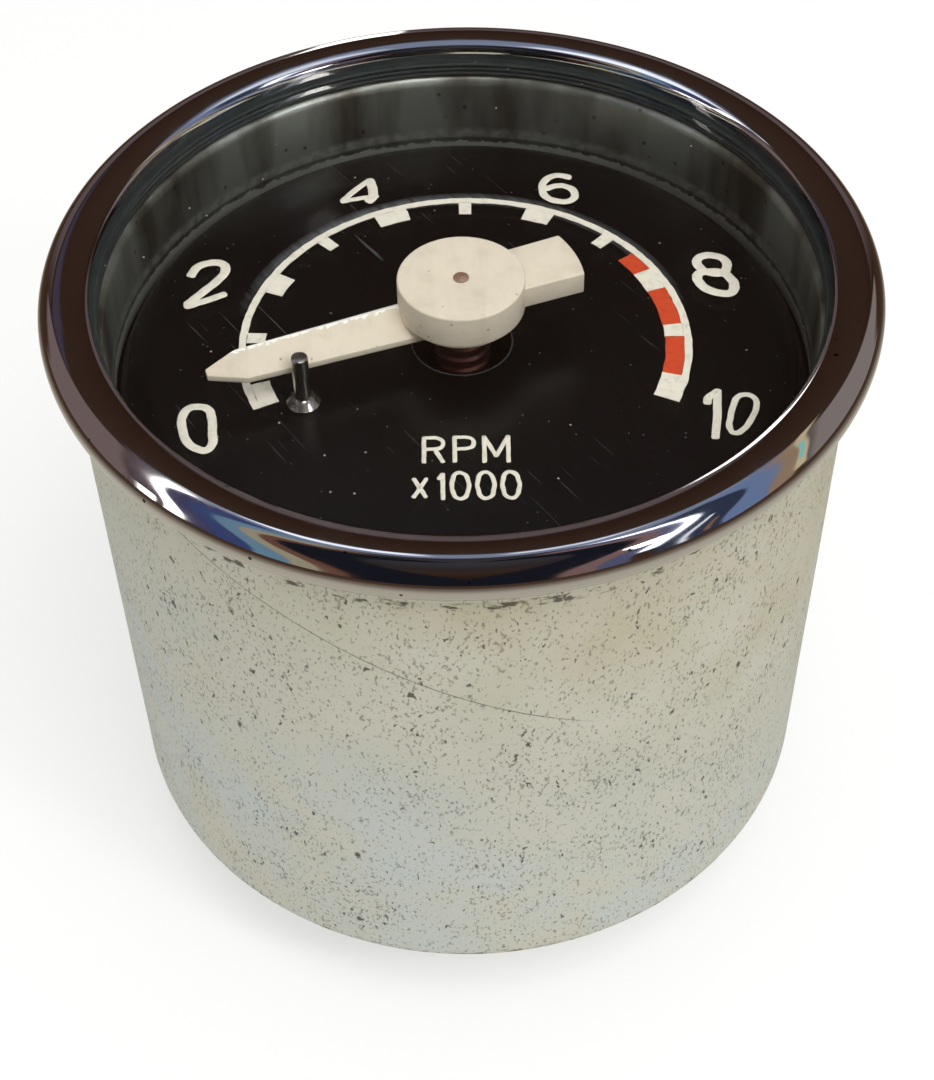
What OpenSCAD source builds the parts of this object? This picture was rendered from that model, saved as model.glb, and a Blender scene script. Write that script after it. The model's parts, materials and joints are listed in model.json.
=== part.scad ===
// Cable driven magnetic tachometer for a motorcycle.
// The instrument stands on its cable union, dial upwards. The origin is the
// centre of the union's end, +Z runs up through the dial, and the foot of the
// scale text lies towards -Y.

/* [Case] */
// Outside diameter of the drawn case
case_d = 80; // [76:0.5:88]
// Height of the case, from its back to the top of its rim
case_h = 66.2; // [64:0.1:76]
// Thickness of the case's sheet
case_wall = 1; // [0.8:0.1:1.3]
// Outside radius of the corner between wall and back
case_corner_r = 2; // [1.5:0.1:3]
// Thickness of the rim that the bezel is rolled under
rim_t = 1; // [0.8:0.1:1.2]

/* [Bezel] */
// Thickness of the bezel's sheet
bezel_sheet = 0.7; // [0.5:0.05:0.8]
// Outside radius of the bezel's roll
bezel_roll_r = 2.45; // [2.3:0.05:2.7]
// How far the bezel's lip reaches in over the glass
bezel_lip = 1.5; // [1:0.1:2]
// How far the crown of the bezel stands over its lip
bezel_crown = 0.5; // [0.3:0.05:0.8]

/* [Glass] */
// Thickness of the glass
glass_t = 2; // [1.6:0.1:2.4]
// How deep the underside of the glass lies below the case's rim
glass_sink = 0.6; // [0.4:0.1:0.8]
// Chamfer round both edges of the glass
glass_chamfer = 0.3; // [0.2:0.05:0.4]
// Thickness of the rubber gasket under the glass
gasket_t = 1.7; // [1.2:0.1:2.2]
// Width of the rubber gasket
gasket_w = 2.1; // [1.6:0.1:2.3]

/* [Spacer ring] */
// Height of the ring that holds the dial down
ring_h = 11.3; // [10.8:0.1:12.5]
// Thickness of the ring's sheet
ring_wall = 0.8; // [0.6:0.1:1]
// Distance from the case's bore to the inside of the ring
ring_inset = 2.6; // [2.3:0.1:3]
// Radius of the curves at the ring's head and foot
ring_bend_r = 1.2; // [1:0.1:1.4]

/* [Dial] */
// Thickness of the dial's sheet
dial_t = 0.8; // [0.6:0.1:1]
// Height of the dial's flat over its brim
dial_rise = 4; // [3.4:0.1:4.4]
// Diameter of the hole that the pointer's bush passes
dial_hole_d = 10.4; // [9.6:0.1:12]
// Diameter of the two dowels under the dial's brim
dial_dowel_d = 1.4; // [1:0.1:1.6]
// Length of the two dowels
dial_dowel_l = 2; // [1.4:0.1:2.2]

/* [Stop pin] */
// Diameter of the pin that the pointer rests against
stop_d = 1.75; // [1.4:0.05:2]
// Height of the pin over the dial
stop_h = 6.3; // [5.5:0.1:6.6]
// Distance of the pin from the centre
stop_pcr = 18.5; // [16:0.1:21]
// Diameter of the flange at the pin's foot
stop_flange_d = 3.5; // [2.8:0.1:4]
// Thickness of that flange
stop_flange_t = 0.9; // [0.6:0.1:1.2]

/* [Pointer] */
// Diameter of the round hub
hub_d = 13.1; // [12:0.1:14]
// Thickness of the hub
hub_t = 3.7; // [3.3:0.1:4]
// Gap between the top of the hub and the glass
hub_glass_gap = 0.4; // [0.3:0.05:0.7]
// Width of the tail at its end
tail_w = 6.7; // [5.5:0.1:7.5]
// Width of the tail at the hub
tail_root_w = 6.4; // [5.2:0.1:7.2]
// Thickness of the tail
tail_t = 2.5; // [2:0.1:2.7]
// How far the tail's top lies below the hub's top
tail_drop = 0.9; // [0.5:0.1:1.1]
// Distance of the tail's round end from the centre
tail_reach = 12.7; // [11:0.1:14]
// Distance of the tip from the centre
blade_reach = 27.3; // [25:0.1:30]
// Distance of the shoulder, where the point starts, from the centre
blade_shoulder = 23.5; // [21:0.1:24.5]
// Width of the blade at the centre
blade_root_w = 4.2; // [3.8:0.1:4.8]
// Width of the blade at its shoulder
blade_shoulder_w = 2.9; // [2.4:0.1:3.4]
// Width of the blunt tip
blade_tip_w = 0.6; // [0.4:0.1:1]
// Thickness of the blade's sheet
blade_t = 0.7; // [0.5:0.05:0.8]
// Height of the blade's ridge over its low edge
blade_fold = 2; // [1.5:0.1:2.2]
// Direction of the pointer at rest, in degrees from +X
rest_deg = 201; // [195:0.5:206]
// Diameter of the bush under the hub
pointer_bush_d = 5.8; // [5:0.1:6.2]
// Length of the bush under the hub
pointer_bush_l = 7.2; // [6.5:0.1:8]
// Diameter of the pointer's spindle
pointer_spindle_d = 1.6; // [1.4:0.1:1.8]
// Diameter of the pivot at the spindle's foot
pivot_d = 1; // [0.8:0.05:1.1]
// Length of that pivot
pivot_l = 1.6; // [1.4:0.1:1.8]

/* [Back] */
// Diameter of the thread that the drive cable screws on
union_d = 12; // [11:0.5:13]
// Distance from the union's end to the back of the case
union_reach = 12; // [11:0.5:14]
// Width across the flats of the union's hexagon
union_af = 19; // [18:0.5:21]
// Thickness of the union's hexagon
union_hex_t = 2.5; // [2:0.1:3]
// Diameter of the shank that screws into the frame
union_shank_d = 14; // [13.5:0.5:15]
// Diameter of the bore that takes the cable's ferrule
ferrule_d = 8; // [7.5:0.1:8.5]
// Depth of that bore
ferrule_l = 5; // [4:0.5:6]
// Thickness of the fibre washer under the hexagon
union_washer_t = 0.6; // [0.4:0.1:1]
// Diameter of the free ends of the two mounting studs
stud_d = 5; // [4:0.5:5.5]
// Diameter of the studs' roots, which their nuts hold to the case
stud_root_d = 6; // [6:0.5:7]
// Distance between the two mounting studs
stud_spacing = 50; // [46:0.5:54]
// How far the studs end short of the union's end
stud_short = 0.5; // [0.3:0.1:2]
// Width across the flats of the stud nuts
stud_nut_af = 10; // [9.5:0.5:12]
// Height of the stud nuts
stud_nut_h = 3; // [2.4:0.1:4]
// Outside diameter of the stud washers
stud_washer_d = 12; // [11:0.5:13]
// Thickness of the stud washers
stud_washer_t = 1; // [0.6:0.1:1.2]
// Diameter of the three screws that hold the frame
frame_screw_d = 3; // [2.5:0.1:3.5]
// Distance of those screws from the centre
frame_screw_pcr = 27; // [25:0.1:28]
// Height of their heads
frame_screw_head_h = 2; // [1.6:0.1:2.4]
// Thickness of their washers
frame_washer_t = 0.5; // [0.4:0.1:0.8]

/* [Frame] */
// Thickness of the gasket between frame and case
frame_gasket_t = 0.6; // [0.4:0.1:1]
// Thickness of the frame's base
base_t = 4; // [3.5:0.1:5]
// Diameter of the frame's three columns
column_d = 5.6; // [4.5:0.1:6]
// Height of the frame's top ring
frame_ring_t = 2.5; // [2.4:0.1:3.5]
// Width of the frame's top ring
frame_ring_w = 5; // [4.5:0.1:6]
// Height of the central boss over the underside of the base
boss_h = 16.4; // [15:0.1:18]
// Diameter of the central boss
boss_d = 18; // [17.5:0.1:19]
// Diameter of the windows in the base
window_d = 11; // [9:0.5:12]

/* [Drive] */
// Diameter of the drive spindle
spindle_d = 6; // [5.5:0.1:6.5]
// Width of the square socket for the cable's core
socket_w = 2.7; // [2.5:0.1:3]
// Depth of the square socket
socket_l = 10; // [8:0.5:11]
// Distance from the union's end to the spindle's foot
spindle_inset = 5.5; // [5:0.1:7]
// Outside diameter of the two spindle bushes
bush_d = 9; // [8.6:0.1:9.4]
// Length of the two spindle bushes
bush_l = 6; // [5:0.1:6.5]
// Thickness of the thrust washer
thrust_t = 0.5; // [0.4:0.1:0.8]
// Diameter of the collar that carries the magnet's hub
collar_d = 10; // [9.6:0.1:10.8]
// Thickness of that collar
collar_t = 1.6; // [1.3:0.1:2]
// Diameter of the flange of the magnet's hub
magnet_flange_d = 16; // [14:0.5:20]
// Thickness of that flange
magnet_flange_t = 1.2; // [1:0.1:1.6]
// Outside diameter of the magnet
magnet_d = 25; // [22:0.5:26]
// Thickness of the magnet
magnet_t = 8; // [7:0.1:9]
// Thickness of the ring that corrects for heat
compensator_t = 0.8; // [0.5:0.1:1.2]
// Thickness of the clip over the magnet
clip_t = 0.6; // [0.5:0.1:0.8]
// Height of the spindle's head over the clip
spindle_head = 1.6; // [1.2:0.1:2]

/* [Drag cup and yoke] */
// Gap between the magnet and the drag cup
cup_gap = 0.7; // [0.5:0.05:1]
// Thickness of the drag cup's sheet
cup_t = 0.6; // [0.4:0.05:0.8]
// Depth of the drag cup
cup_h = 10; // [9:0.1:10.5]
// Gap between the drag cup and the yoke
yoke_gap = 0.7; // [0.5:0.05:1]
// Thickness of the yoke
yoke_t = 1.5; // [1.2:0.1:2]
// Diameter of the collet over the drag cup
cup_collet_d = 4.4; // [4:0.1:5]
// Thickness of the collet over the drag cup
cup_collet_t = 2; // [1.5:0.1:2.2]

/* [Bridge] */
// Gap between the cup's collet and the bridge's bearing
bridge_gap = 0.6; // [0.4:0.1:1]
// Thickness of the bridge
bridge_t = 2; // [1.5:0.1:2.5]
// Distance of the pillars from the centre
pillar_pcr = 21; // [20:0.1:22]
// Diameter of the pillars
pillar_d = 5; // [4.5:0.1:5.5]
// Diameter of the screws on the pillars
bridge_screw_d = 2.5; // [2:0.1:3]
// Length of those screws below their heads
bridge_screw_l = 7; // [6:0.5:9]
// Diameter of the pointer's bearing in the bridge
bearing_d = 5; // [4.6:0.1:5.6]
// Thickness of the bearing's flange
bearing_flange_t = 0.8; // [0.6:0.1:1]
// Diameter of the bearing's flange
bearing_flange_d = 7; // [6.4:0.1:8]

/* [Hairspring] */
// Thickness of the regulator lever
regulator_t = 0.9; // [0.7:0.1:1.2]
// Diameter of the collet that holds the hairspring
collet_d = 4.6; // [4:0.1:5]
// Height of that collet
collet_h = 2.4; // [2.2:0.1:3]
// Height of the hairspring's strip
spring_h = 1.3; // [1:0.1:1.6]
// Thickness of the hairspring's strip
spring_strip = 0.22; // [0.18:0.02:0.3]
// Radius of the hairspring's outer turn
spring_r = 10; // [9.5:0.1:11]
// Number of turns in the hairspring
spring_turns = 5; // [4:1:6]
// Width of the stud that clamps the hairspring
spring_stud_w = 2; // [1.6:0.1:2.6]

/* [Fits] */
// Radial clearance of a shaft that turns in a bush
running = 0.04; // [0.02:0.01:0.08]
// Radial clearance of a pin that doesn't turn
seat = 0.1; // [0.05:0.05:0.2]
// Radial clearance of what drops into the case's bore
drop_in = 0.2; // [0.1:0.05:0.3]
// Clearance between parts that pass each other
pass = 0.4; // [0.3:0.05:0.5]

/* [Hidden] */
$fn = 96;
eps = 0.01;

// Heights, from the union's end up to the rim and back down the stack
back_z = union_reach;
floor_z = back_z + case_wall;
frame_z = floor_z + frame_gasket_t;
base_top_z = frame_z + base_t;
boss_top_z = frame_z + boss_h;
rim_z = back_z + case_h;
glass_z = rim_z - glass_sink;
glass_top_z = glass_z + glass_t;
gasket_z = glass_z - gasket_t;
ring_z = gasket_z - ring_h;
dial_z = ring_z + dial_rise;
frame_top_z = ring_z - dial_t;
hub_top_z = glass_z - hub_glass_gap;
hub_z = hub_top_z - hub_t;
eye_z = hub_z - blade_t;

// Radii of the case, the bezel's roll and the stack inside them
case_r = case_d / 2;
bore_r = case_r - case_wall;
roll_r = case_r + seat / 2;
roll_in = bezel_roll_r - bezel_sheet;
roll_z = glass_top_z + bezel_crown - roll_in;
rim_low_z = rim_z - rim_t;
rim_drop = max(abs(roll_z - rim_low_z), abs(roll_z - rim_z));
rim_r = roll_r + sqrt(roll_in * roll_in - rim_drop * rim_drop) - seat / 2;
glass_r = bore_r - drop_in;
lip_r = glass_r - bezel_lip;
ring_r = bore_r - ring_inset;
ring_flange_r = bore_r - drop_in;
dial_shoulder_r = ring_r - drop_in;
dial_flat_r = dial_shoulder_r - dial_rise;
frame_r = bore_r - 2 * drop_in;
neck = 0.2;
column_pcr = frame_r - column_d / 2 - drop_in;

// Heights in the movement
collar_z = boss_top_z + thrust_t;
magnet_hub_z = collar_z + collar_t;
magnet_z = magnet_hub_z + magnet_flange_t;
magnet_top_z = magnet_z + magnet_t;
clip_z = magnet_top_z + compensator_t;
spindle_top_z = clip_z + clip_t + spindle_head;
cup_z = spindle_top_z + pass + cup_t;
yoke_top_z = cup_z + pass;
cup_collet_top_z = cup_z + cup_collet_t;
bearing_z = cup_collet_top_z + bridge_gap;
bridge_z = bearing_z + bearing_flange_t;
bridge_top_z = bridge_z + bridge_t;
regulator_top_z = bridge_top_z + regulator_t;
collet_z = regulator_top_z + pass;
spring_z = collet_z + (collet_h - spring_h) / 2;

// Radii in the movement
spindle_r = spindle_d / 2;
bush_bore_r = spindle_r + running;
pointer_spindle_r = pointer_spindle_d / 2;
pivot_r = pivot_d / 2;
magnet_spigot_r = collar_d / 2;
cup_in_r = magnet_d / 2 + cup_gap;
cup_r = cup_in_r + cup_t;
yoke_in_r = cup_r + yoke_gap;
yoke_r = yoke_in_r + yoke_t;
jewel_wall = 0.7;
jewel_r = pivot_r + jewel_wall;
jewel_h = 1.5;
regulator_rim = 2;
regulator_eye_r = bearing_d / 2 + regulator_rim;
spring_in_r = collet_d / 2 + seat;
spring_start_deg = 250;

// Small edges, slots and turned-over rims
edge = 0.6;
neck_z = roll_z - bezel_roll_r - edge;
slot_w = 0.7;
slot_deep = 0.9;
rivet_h = 0.6;
rivet_lip = 0.4;
pillar_spigot_l = 1.9;
clip_rim = 1;
eye_rim = 0.7;

// Angles round the axis
column_degs = [90, 210, 330];
pillar_degs = [30, 150, 270];
dowel_degs = [0, 180];
stud_sides = [-1, 1];

// The stop pin stands where it just clears the blade at rest
blade_w_at_stop = blade_root_w + (blade_shoulder_w - blade_root_w) * stop_pcr / blade_shoulder;
stop_gap = 0.05;
stop_deg = rest_deg + asin((blade_w_at_stop / 2 + stop_d / 2 + stop_gap) / stop_pcr);

// Points along an arc in a section
function arc(c, r, a, b, n = 10) = [
    for (i = [0:n]) c + r * [cos(a + (b - a) * i / n), sin(a + (b - a) * i / n)]
];

// A round disc, washer or tube from z up by h
module tube(r, hole_r, z, h) {
    translate([0, 0, z]) difference() {
        cylinder(r = r, h = h);
        translate([0, 0, -eps]) cylinder(r = hole_r, h = h + 2 * eps);
    }
}

// Copies of a child on a circle
module around(degs, r) {
    for (a = degs) rotate([0, 0, a]) translate([r, 0, 0]) children();
}

// The holes through the back for the union, the studs and the frame screws
module back_holes(z, h, union_clear, stud_clear, screw_clear) {
    translate([0, 0, z]) {
        cylinder(r = union_shank_d / 2 + union_clear, h = h);
        for (s = stud_sides) translate([s * stud_spacing / 2, 0, 0])
            cylinder(r = stud_root_d / 2 + stud_clear, h = h);
        around(column_degs, frame_screw_pcr)
            cylinder(r = frame_screw_d / 2 + screw_clear, h = h);
    }
}

// A drawn can, whose wall tapers in a little under the bezel
module case() {
    in_r = max(case_corner_r - case_wall, 0.3);
    color("#c4c5b8") difference() {
        rotate_extrude() polygon(concat(
            [[0, back_z]],
            arc([case_r - case_corner_r, back_z + case_corner_r], case_corner_r, -90, 0),
            [[case_r, neck_z], [case_r - neck, rim_low_z],
                [rim_r, rim_low_z], [rim_r, rim_z], [bore_r, rim_z]],
            arc([bore_r - in_r, floor_z + in_r], in_r, 0, -90),
            [[0, floor_z]]));
        back_holes(back_z - 1, case_wall + 2, seat, seat, seat);
    }
}

module bezel() {
    lip_w = roll_r - lip_r;
    flank_r = (lip_w * lip_w + bezel_crown * bezel_crown) / (2 * bezel_crown);
    color("#8f8a90") translate([0, 0, roll_z]) rotate_extrude() translate([roll_r, 0]) {
        difference() {
            circle(r = bezel_roll_r);
            circle(r = roll_in);
            translate([-2 * bezel_roll_r, -bezel_roll_r]) square(2 * bezel_roll_r);
        }
        intersection() {
            translate([0, roll_in - flank_r]) difference() {
                circle(r = flank_r + bezel_sheet, $fn = 360);
                circle(r = flank_r, $fn = 360);
            }
            translate([-lip_w, 0]) square([lip_w, bezel_roll_r]);
        }
    }
}

module glass() {
    c = glass_chamfer;
    color("#dfeeea", 0.35) rotate_extrude() polygon([
        [0, glass_z], [glass_r - c, glass_z], [glass_r, glass_z + c],
        [glass_r, glass_top_z - c], [glass_r - c, glass_top_z], [0, glass_top_z]]);
}

module glass_gasket() {
    color("#3c4a46") tube(glass_r, glass_r - gasket_w, gasket_z, gasket_t);
}

// A drawn ring, flared outwards in a smooth curve at its head and foot
module spacer_ring() {
    b = ring_bend_r;
    t = ring_wall;
    top = ring_z + ring_h;
    color("#9aa29a") rotate_extrude() polygon(concat(
        [[ring_flange_r, ring_z + t], [ring_flange_r, ring_z]],
        arc([ring_r + b, ring_z + b], b, 270, 180),
        arc([ring_r + b, top - b], b, 180, 90),
        [[ring_flange_r, top], [ring_flange_r, top - t]],
        arc([ring_r + b, top - b], b - t, 90, 180),
        arc([ring_r + b, ring_z + b], b - t, 180, 270)));
}

// A pressed pan: flat on top, round at the shoulder, with a thin brim
module dial() {
    c = [dial_flat_r, ring_z];
    color("#141414") difference() {
        rotate_extrude() polygon(concat(
            [[dial_hole_d / 2, dial_z - dial_t], [dial_hole_d / 2, dial_z]],
            arc(c, dial_rise, 90, 0),
            [[ring_flange_r, ring_z], [ring_flange_r, frame_top_z],
                [dial_shoulder_r - dial_t, frame_top_z]],
            arc(c, dial_rise - dial_t, 0, 90)));
        rotate([0, 0, stop_deg]) translate([stop_pcr, 0, dial_z - 2 * dial_t])
            cylinder(r = stop_d / 2, h = 3 * dial_t);
    }
}

module dial_dowels() {
    color("#b08d45") around(dowel_degs, ring_flange_r - dial_dowel_d)
        translate([0, 0, frame_top_z - dial_dowel_l])
            cylinder(r = dial_dowel_d / 2, h = dial_dowel_l);
}

// A turned pin with a coned flange, riveted over under the dial
module stop_pin() {
    r = stop_d / 2;
    f = stop_flange_d / 2;
    low = dial_z - dial_t;
    top = dial_z + stop_h;
    cone_r = r + 0.3;
    c = 0.2;
    color("#8d8f93") rotate([0, 0, stop_deg]) translate([stop_pcr, 0, 0])
        rotate_extrude() polygon([
            [0, low - rivet_h], [r + rivet_lip / 2, low - rivet_h], [r + rivet_lip, low], [r, low],
            [r, dial_z], [f, dial_z], [f, dial_z + stop_flange_t / 3],
            [cone_r, dial_z + stop_flange_t], [r, dial_z + stop_flange_t],
            [r, top - c], [r - c, top], [0, top]]);
}

// A die cast cradle: base and boss, three columns, and the ring under the dial
module movement_frame() {
    ring_low = frame_top_z - frame_ring_t;
    color("#a9abaa") difference() {
        union() {
            tube(frame_r, union_shank_d / 2, frame_z, base_t);
            tube(boss_d / 2, bush_d / 2, frame_z, boss_h);
            around(column_degs, column_pcr) translate([0, 0, frame_z])
                cylinder(r = column_d / 2, h = frame_top_z - frame_z);
            tube(frame_r, frame_r - frame_ring_w, ring_low, frame_ring_t);
        }
        back_holes(frame_z - 1, base_t + 1 + eps, 0, 0, 0);
        translate([0, 0, frame_z - 1]) cylinder(r = bush_d / 2, h = boss_h + 2);
        around(pillar_degs, (pillar_pcr + frame_r) / 2) translate([0, 0, frame_z - 1])
            cylinder(r = window_d / 2, h = base_t + 2);
        around(pillar_degs, pillar_pcr) translate([0, 0, base_top_z - pillar_spigot_l - seat])
            cylinder(r = pillar_d / 4, h = pillar_spigot_l + 1);
        around(dowel_degs, ring_flange_r - dial_dowel_d)
            translate([0, 0, frame_top_z - dial_dowel_l - seat])
                cylinder(r = dial_dowel_d / 2 + seat / 2, h = dial_dowel_l + 1);
    }
}

module frame_gasket() {
    color("#4b3f33") difference() {
        translate([0, 0, floor_z]) cylinder(r = frame_r - case_corner_r, h = frame_gasket_t);
        back_holes(floor_z - 1, frame_gasket_t + 2, seat, seat, seat);
    }
}

module frame_screws() {
    head_r = frame_screw_d;
    head_z = back_z - frame_washer_t - frame_screw_head_h;
    shank_l = frame_washer_t + case_wall + frame_gasket_t + base_t;
    color("#b9bcc0") around(column_degs, frame_screw_pcr) translate([0, 0, head_z]) {
        difference() {
            rotate_extrude() polygon(concat(
                [[0, 0]],
                arc([head_r - edge, edge], edge, -90, 0, 5),
                [[head_r, frame_screw_head_h], [0, frame_screw_head_h]]));
            translate([-head_r, -slot_w / 2, -1]) cube([2 * head_r, slot_w, slot_deep + 1]);
        }
        translate([0, 0, frame_screw_head_h])
            cylinder(r = frame_screw_d / 2, h = shank_l);
    }
}

module frame_screw_washers() {
    color("#a8abb0") around(column_degs, frame_screw_pcr)
        tube(frame_screw_d + edge, frame_screw_d / 2 + seat, back_z - frame_washer_t, frame_washer_t);
}

// The hexagon bears on its fibre washer, and the shank screws into the frame
module cable_union() {
    r = union_d / 2;
    hex_top = back_z - union_washer_t;
    shank_top = base_top_z;
    color("#b7b49c") difference() {
        union() {
            rotate_extrude() polygon([
                [0, 0], [r - edge, 0], [r, edge], [r, hex_top - eps], [0, hex_top - eps]]);
            translate([0, 0, hex_top - union_hex_t])
                cylinder(r = union_af / 2 / cos(30), h = union_hex_t, $fn = 6);
            translate([0, 0, hex_top - eps])
                cylinder(r = union_shank_d / 2, h = shank_top - hex_top + eps);
        }
        translate([0, 0, -1]) cylinder(r = ferrule_d / 2, h = ferrule_l + 1);
        translate([0, 0, -1]) cylinder(r = spindle_r + pass, h = shank_top + 2);
        translate([0, 0, shank_top - bush_l]) cylinder(r = bush_d / 2, h = bush_l + 1);
    }
}

module union_washer() {
    color("#7d2f25")
        tube(union_af / 2, union_shank_d / 2 + seat, back_z - union_washer_t, union_washer_t);
}

module lower_bush() {
    color("#a9743a") tube(bush_d / 2, bush_bore_r, base_top_z - bush_l, bush_l);
}

module upper_bush() {
    color("#a9743a") tube(bush_d / 2, bush_bore_r, boss_top_z - bush_l, bush_l);
}

// Stepped studs, whose thinner ends take the bracket
module mounting_studs() {
    r = stud_d / 2;
    root_r = stud_root_d / 2;
    step_z = back_z - stud_washer_t - stud_nut_h - edge;
    color("#b9bcc0") for (s = stud_sides) translate([s * stud_spacing / 2, 0, 0])
        rotate_extrude() polygon([
            [0, stud_short], [r - edge, stud_short], [r, stud_short + edge],
            [r, step_z], [root_r, step_z + root_r - r], [root_r, base_top_z], [0, base_top_z]]);
}

module stud_nuts() {
    z = back_z - stud_washer_t - stud_nut_h;
    color("#b9bcc0") for (s = stud_sides) translate([s * stud_spacing / 2, 0, 0])
        difference() {
            translate([0, 0, z]) cylinder(r = stud_nut_af / 2 / cos(30), h = stud_nut_h, $fn = 6);
            translate([0, 0, z - 1]) cylinder(r = stud_root_d / 2, h = stud_nut_h + 2);
        }
}

module stud_washers() {
    color("#a8abb0") for (s = stud_sides) translate([s * stud_spacing / 2, 0, 0])
        tube(stud_washer_d / 2, stud_root_d / 2 + seat, back_z - stud_washer_t, stud_washer_t);
}

// The square socket takes the core of the drive cable
module drive_spindle() {
    color("#8e9197") difference() {
        union() {
            translate([0, 0, spindle_inset]) cylinder(r = spindle_r, h = spindle_top_z - spindle_inset);
            translate([0, 0, collar_z]) cylinder(r = collar_d / 2, h = collar_t);
        }
        translate([-socket_w / 2, -socket_w / 2, spindle_inset - 1])
            cube([socket_w, socket_w, socket_l + 1]);
        translate([0, 0, spindle_top_z - jewel_h]) cylinder(r = jewel_r, h = jewel_h + 1);
        translate([0, 0, spindle_top_z - jewel_h - 1]) cylinder(r = pivot_r + seat, h = 2);
    }
}

module pivot_jewel() {
    color("#b5304a") tube(jewel_r, pivot_r + running, spindle_top_z - jewel_h, jewel_h);
}

module thrust_washer() {
    color("#b58b4a") tube(collar_d / 2, bush_bore_r, boss_top_z, thrust_t);
}

module magnet_hub() {
    color("#b08d45") {
        tube(magnet_flange_d / 2, spindle_r, magnet_hub_z, magnet_flange_t);
        tube(magnet_spigot_r, spindle_r, magnet_hub_z, clip_z - magnet_hub_z);
    }
}

module magnet() {
    color("#5a5c60") tube(magnet_d / 2, magnet_spigot_r, magnet_z, magnet_t);
}

module compensator_ring() {
    color("#9c9ea2") tube(magnet_d / 2 - edge, magnet_spigot_r, magnet_top_z, compensator_t);
}

module magnet_clip() {
    color("#6f7276") tube(magnet_spigot_r + clip_rim, spindle_r, clip_z, clip_t);
}

// The inverted aluminium cup that the turning magnet drags round
module drag_cup() {
    color("#c9ccd0") difference() {
        translate([0, 0, cup_z - cup_t - cup_h]) cylinder(r = cup_r, h = cup_h + cup_t);
        translate([0, 0, cup_z - cup_t - cup_h - 1]) cylinder(r = cup_in_r, h = cup_h + 1);
        translate([0, 0, cup_z - cup_t - 1]) cylinder(r = pointer_spindle_r, h = cup_t + 2);
    }
}

module cup_collet() {
    color("#b08d45") tube(cup_collet_d / 2, pointer_spindle_r, cup_z, cup_collet_t);
}

// The steel cup that closes the magnet's field round the drag cup
module flux_yoke() {
    color("#7d8085") difference() {
        translate([0, 0, boss_top_z]) cylinder(r = yoke_r, h = yoke_top_z - boss_top_z);
        translate([0, 0, boss_top_z + yoke_t]) cylinder(r = yoke_in_r, h = yoke_top_z);
        translate([0, 0, boss_top_z - 1]) cylinder(r = collar_d / 2 + pass, h = yoke_t + 2);
    }
}

module bridge_pillars() {
    color("#b08d45") around(pillar_degs, pillar_pcr) difference() {
        union() {
            translate([0, 0, base_top_z]) cylinder(r = pillar_d / 2, h = bridge_z - base_top_z);
            translate([0, 0, base_top_z - pillar_spigot_l])
                cylinder(r = pillar_d / 4, h = pillar_spigot_l + eps);
        }
        translate([0, 0, bridge_top_z - bridge_screw_l - pass])
            cylinder(r = bridge_screw_d / 2, h = bridge_screw_l + 1);
    }
}

// A three armed plate over the drag cup
module top_bridge() {
    arm_w = 1.6 * pillar_d;
    color("#b8a15e") translate([0, 0, bridge_z]) difference() {
        union() {
            cylinder(r = magnet_d / 2, h = bridge_t);
            for (a = pillar_degs) rotate([0, 0, a]) {
                translate([0, -arm_w / 2, 0]) cube([pillar_pcr, arm_w, bridge_t]);
                translate([pillar_pcr, 0, 0]) cylinder(r = arm_w / 2, h = bridge_t);
            }
        }
        translate([0, 0, -1]) cylinder(r = bearing_d / 2, h = bridge_t + 2);
        around(pillar_degs, pillar_pcr) translate([0, 0, -1])
            cylinder(r = bridge_screw_d / 2 + seat, h = bridge_t + 2);
    }
}

module bridge_screws() {
    head_r = bridge_screw_d * 0.95;
    head_h = bridge_screw_d * 0.6;
    color("#b9bcc0") around(pillar_degs, pillar_pcr) translate([0, 0, bridge_top_z])
        difference() {
            union() {
                cylinder(r = head_r, h = head_h);
                translate([0, 0, -bridge_screw_l]) cylinder(r = bridge_screw_d / 2, h = bridge_screw_l + eps);
            }
            translate([-head_r, -slot_w / 2, head_h / 2]) cube([2 * head_r, slot_w, head_h]);
        }
}

module pointer_bearing() {
    r = pointer_spindle_r + running;
    color("#a9743a") {
        tube(bearing_flange_d / 2, r, bearing_z, bearing_flange_t);
        tube(bearing_d / 2, r, bearing_z, regulator_top_z - bearing_z);
    }
}

// A lever that turns stiffly on the bearing and carries the spring's stud
module hairspring_regulator() {
    arm = spring_r + spring_stud_w;
    arm_w = 1.2 * spring_stud_w;
    finger_w = 0.9 * spring_stud_w;
    color("#c2a552") rotate([0, 0, spring_start_deg]) translate([0, 0, bridge_top_z])
        difference() {
            union() {
                cylinder(r = regulator_eye_r, h = regulator_t);
                translate([0, -arm_w / 2, 0]) cube([arm, arm_w, regulator_t]);
                translate([arm, 0, 0]) cylinder(r = arm_w / 2, h = regulator_t);
                translate([-spring_r, -finger_w / 2, 0]) cube([spring_r, finger_w, regulator_t]);
            }
            translate([0, 0, -1]) cylinder(r = bearing_d / 2, h = regulator_t + 2);
        }
}

module hairspring_stud() {
    w = spring_stud_w;
    color("#b9bcc0") rotate([0, 0, spring_start_deg])
        translate([spring_r - w / 2, 0, regulator_top_z])
            cube([w, 0.8 * w, spring_z + spring_h - regulator_top_z]);
}

// One flat spiral strip, wound outwards from the collet to the stud
module hairspring() {
    steps = 26 * spring_turns;
    turn = 360 * spring_turns;
    first_deg = spring_start_deg - turn;
    grow = spring_r - spring_in_r - spring_strip / 2;
    function at(i, side) = let (
        a = first_deg + turn * i / steps,
        r = spring_in_r + spring_strip / 2 + grow * i / steps + side * spring_strip / 2
    ) [r * cos(a), r * sin(a)];
    color("#a0622f") translate([0, 0, spring_z]) linear_extrude(height = spring_h)
        polygon(concat(
            [for (i = [0:steps]) at(i, -1)],
            [for (i = [steps:-1:0]) at(i, 1)]));
}

module hairspring_collet() {
    color("#b08d45") tube(collet_d / 2, pointer_spindle_r, collet_z, collet_h);
}

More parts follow.
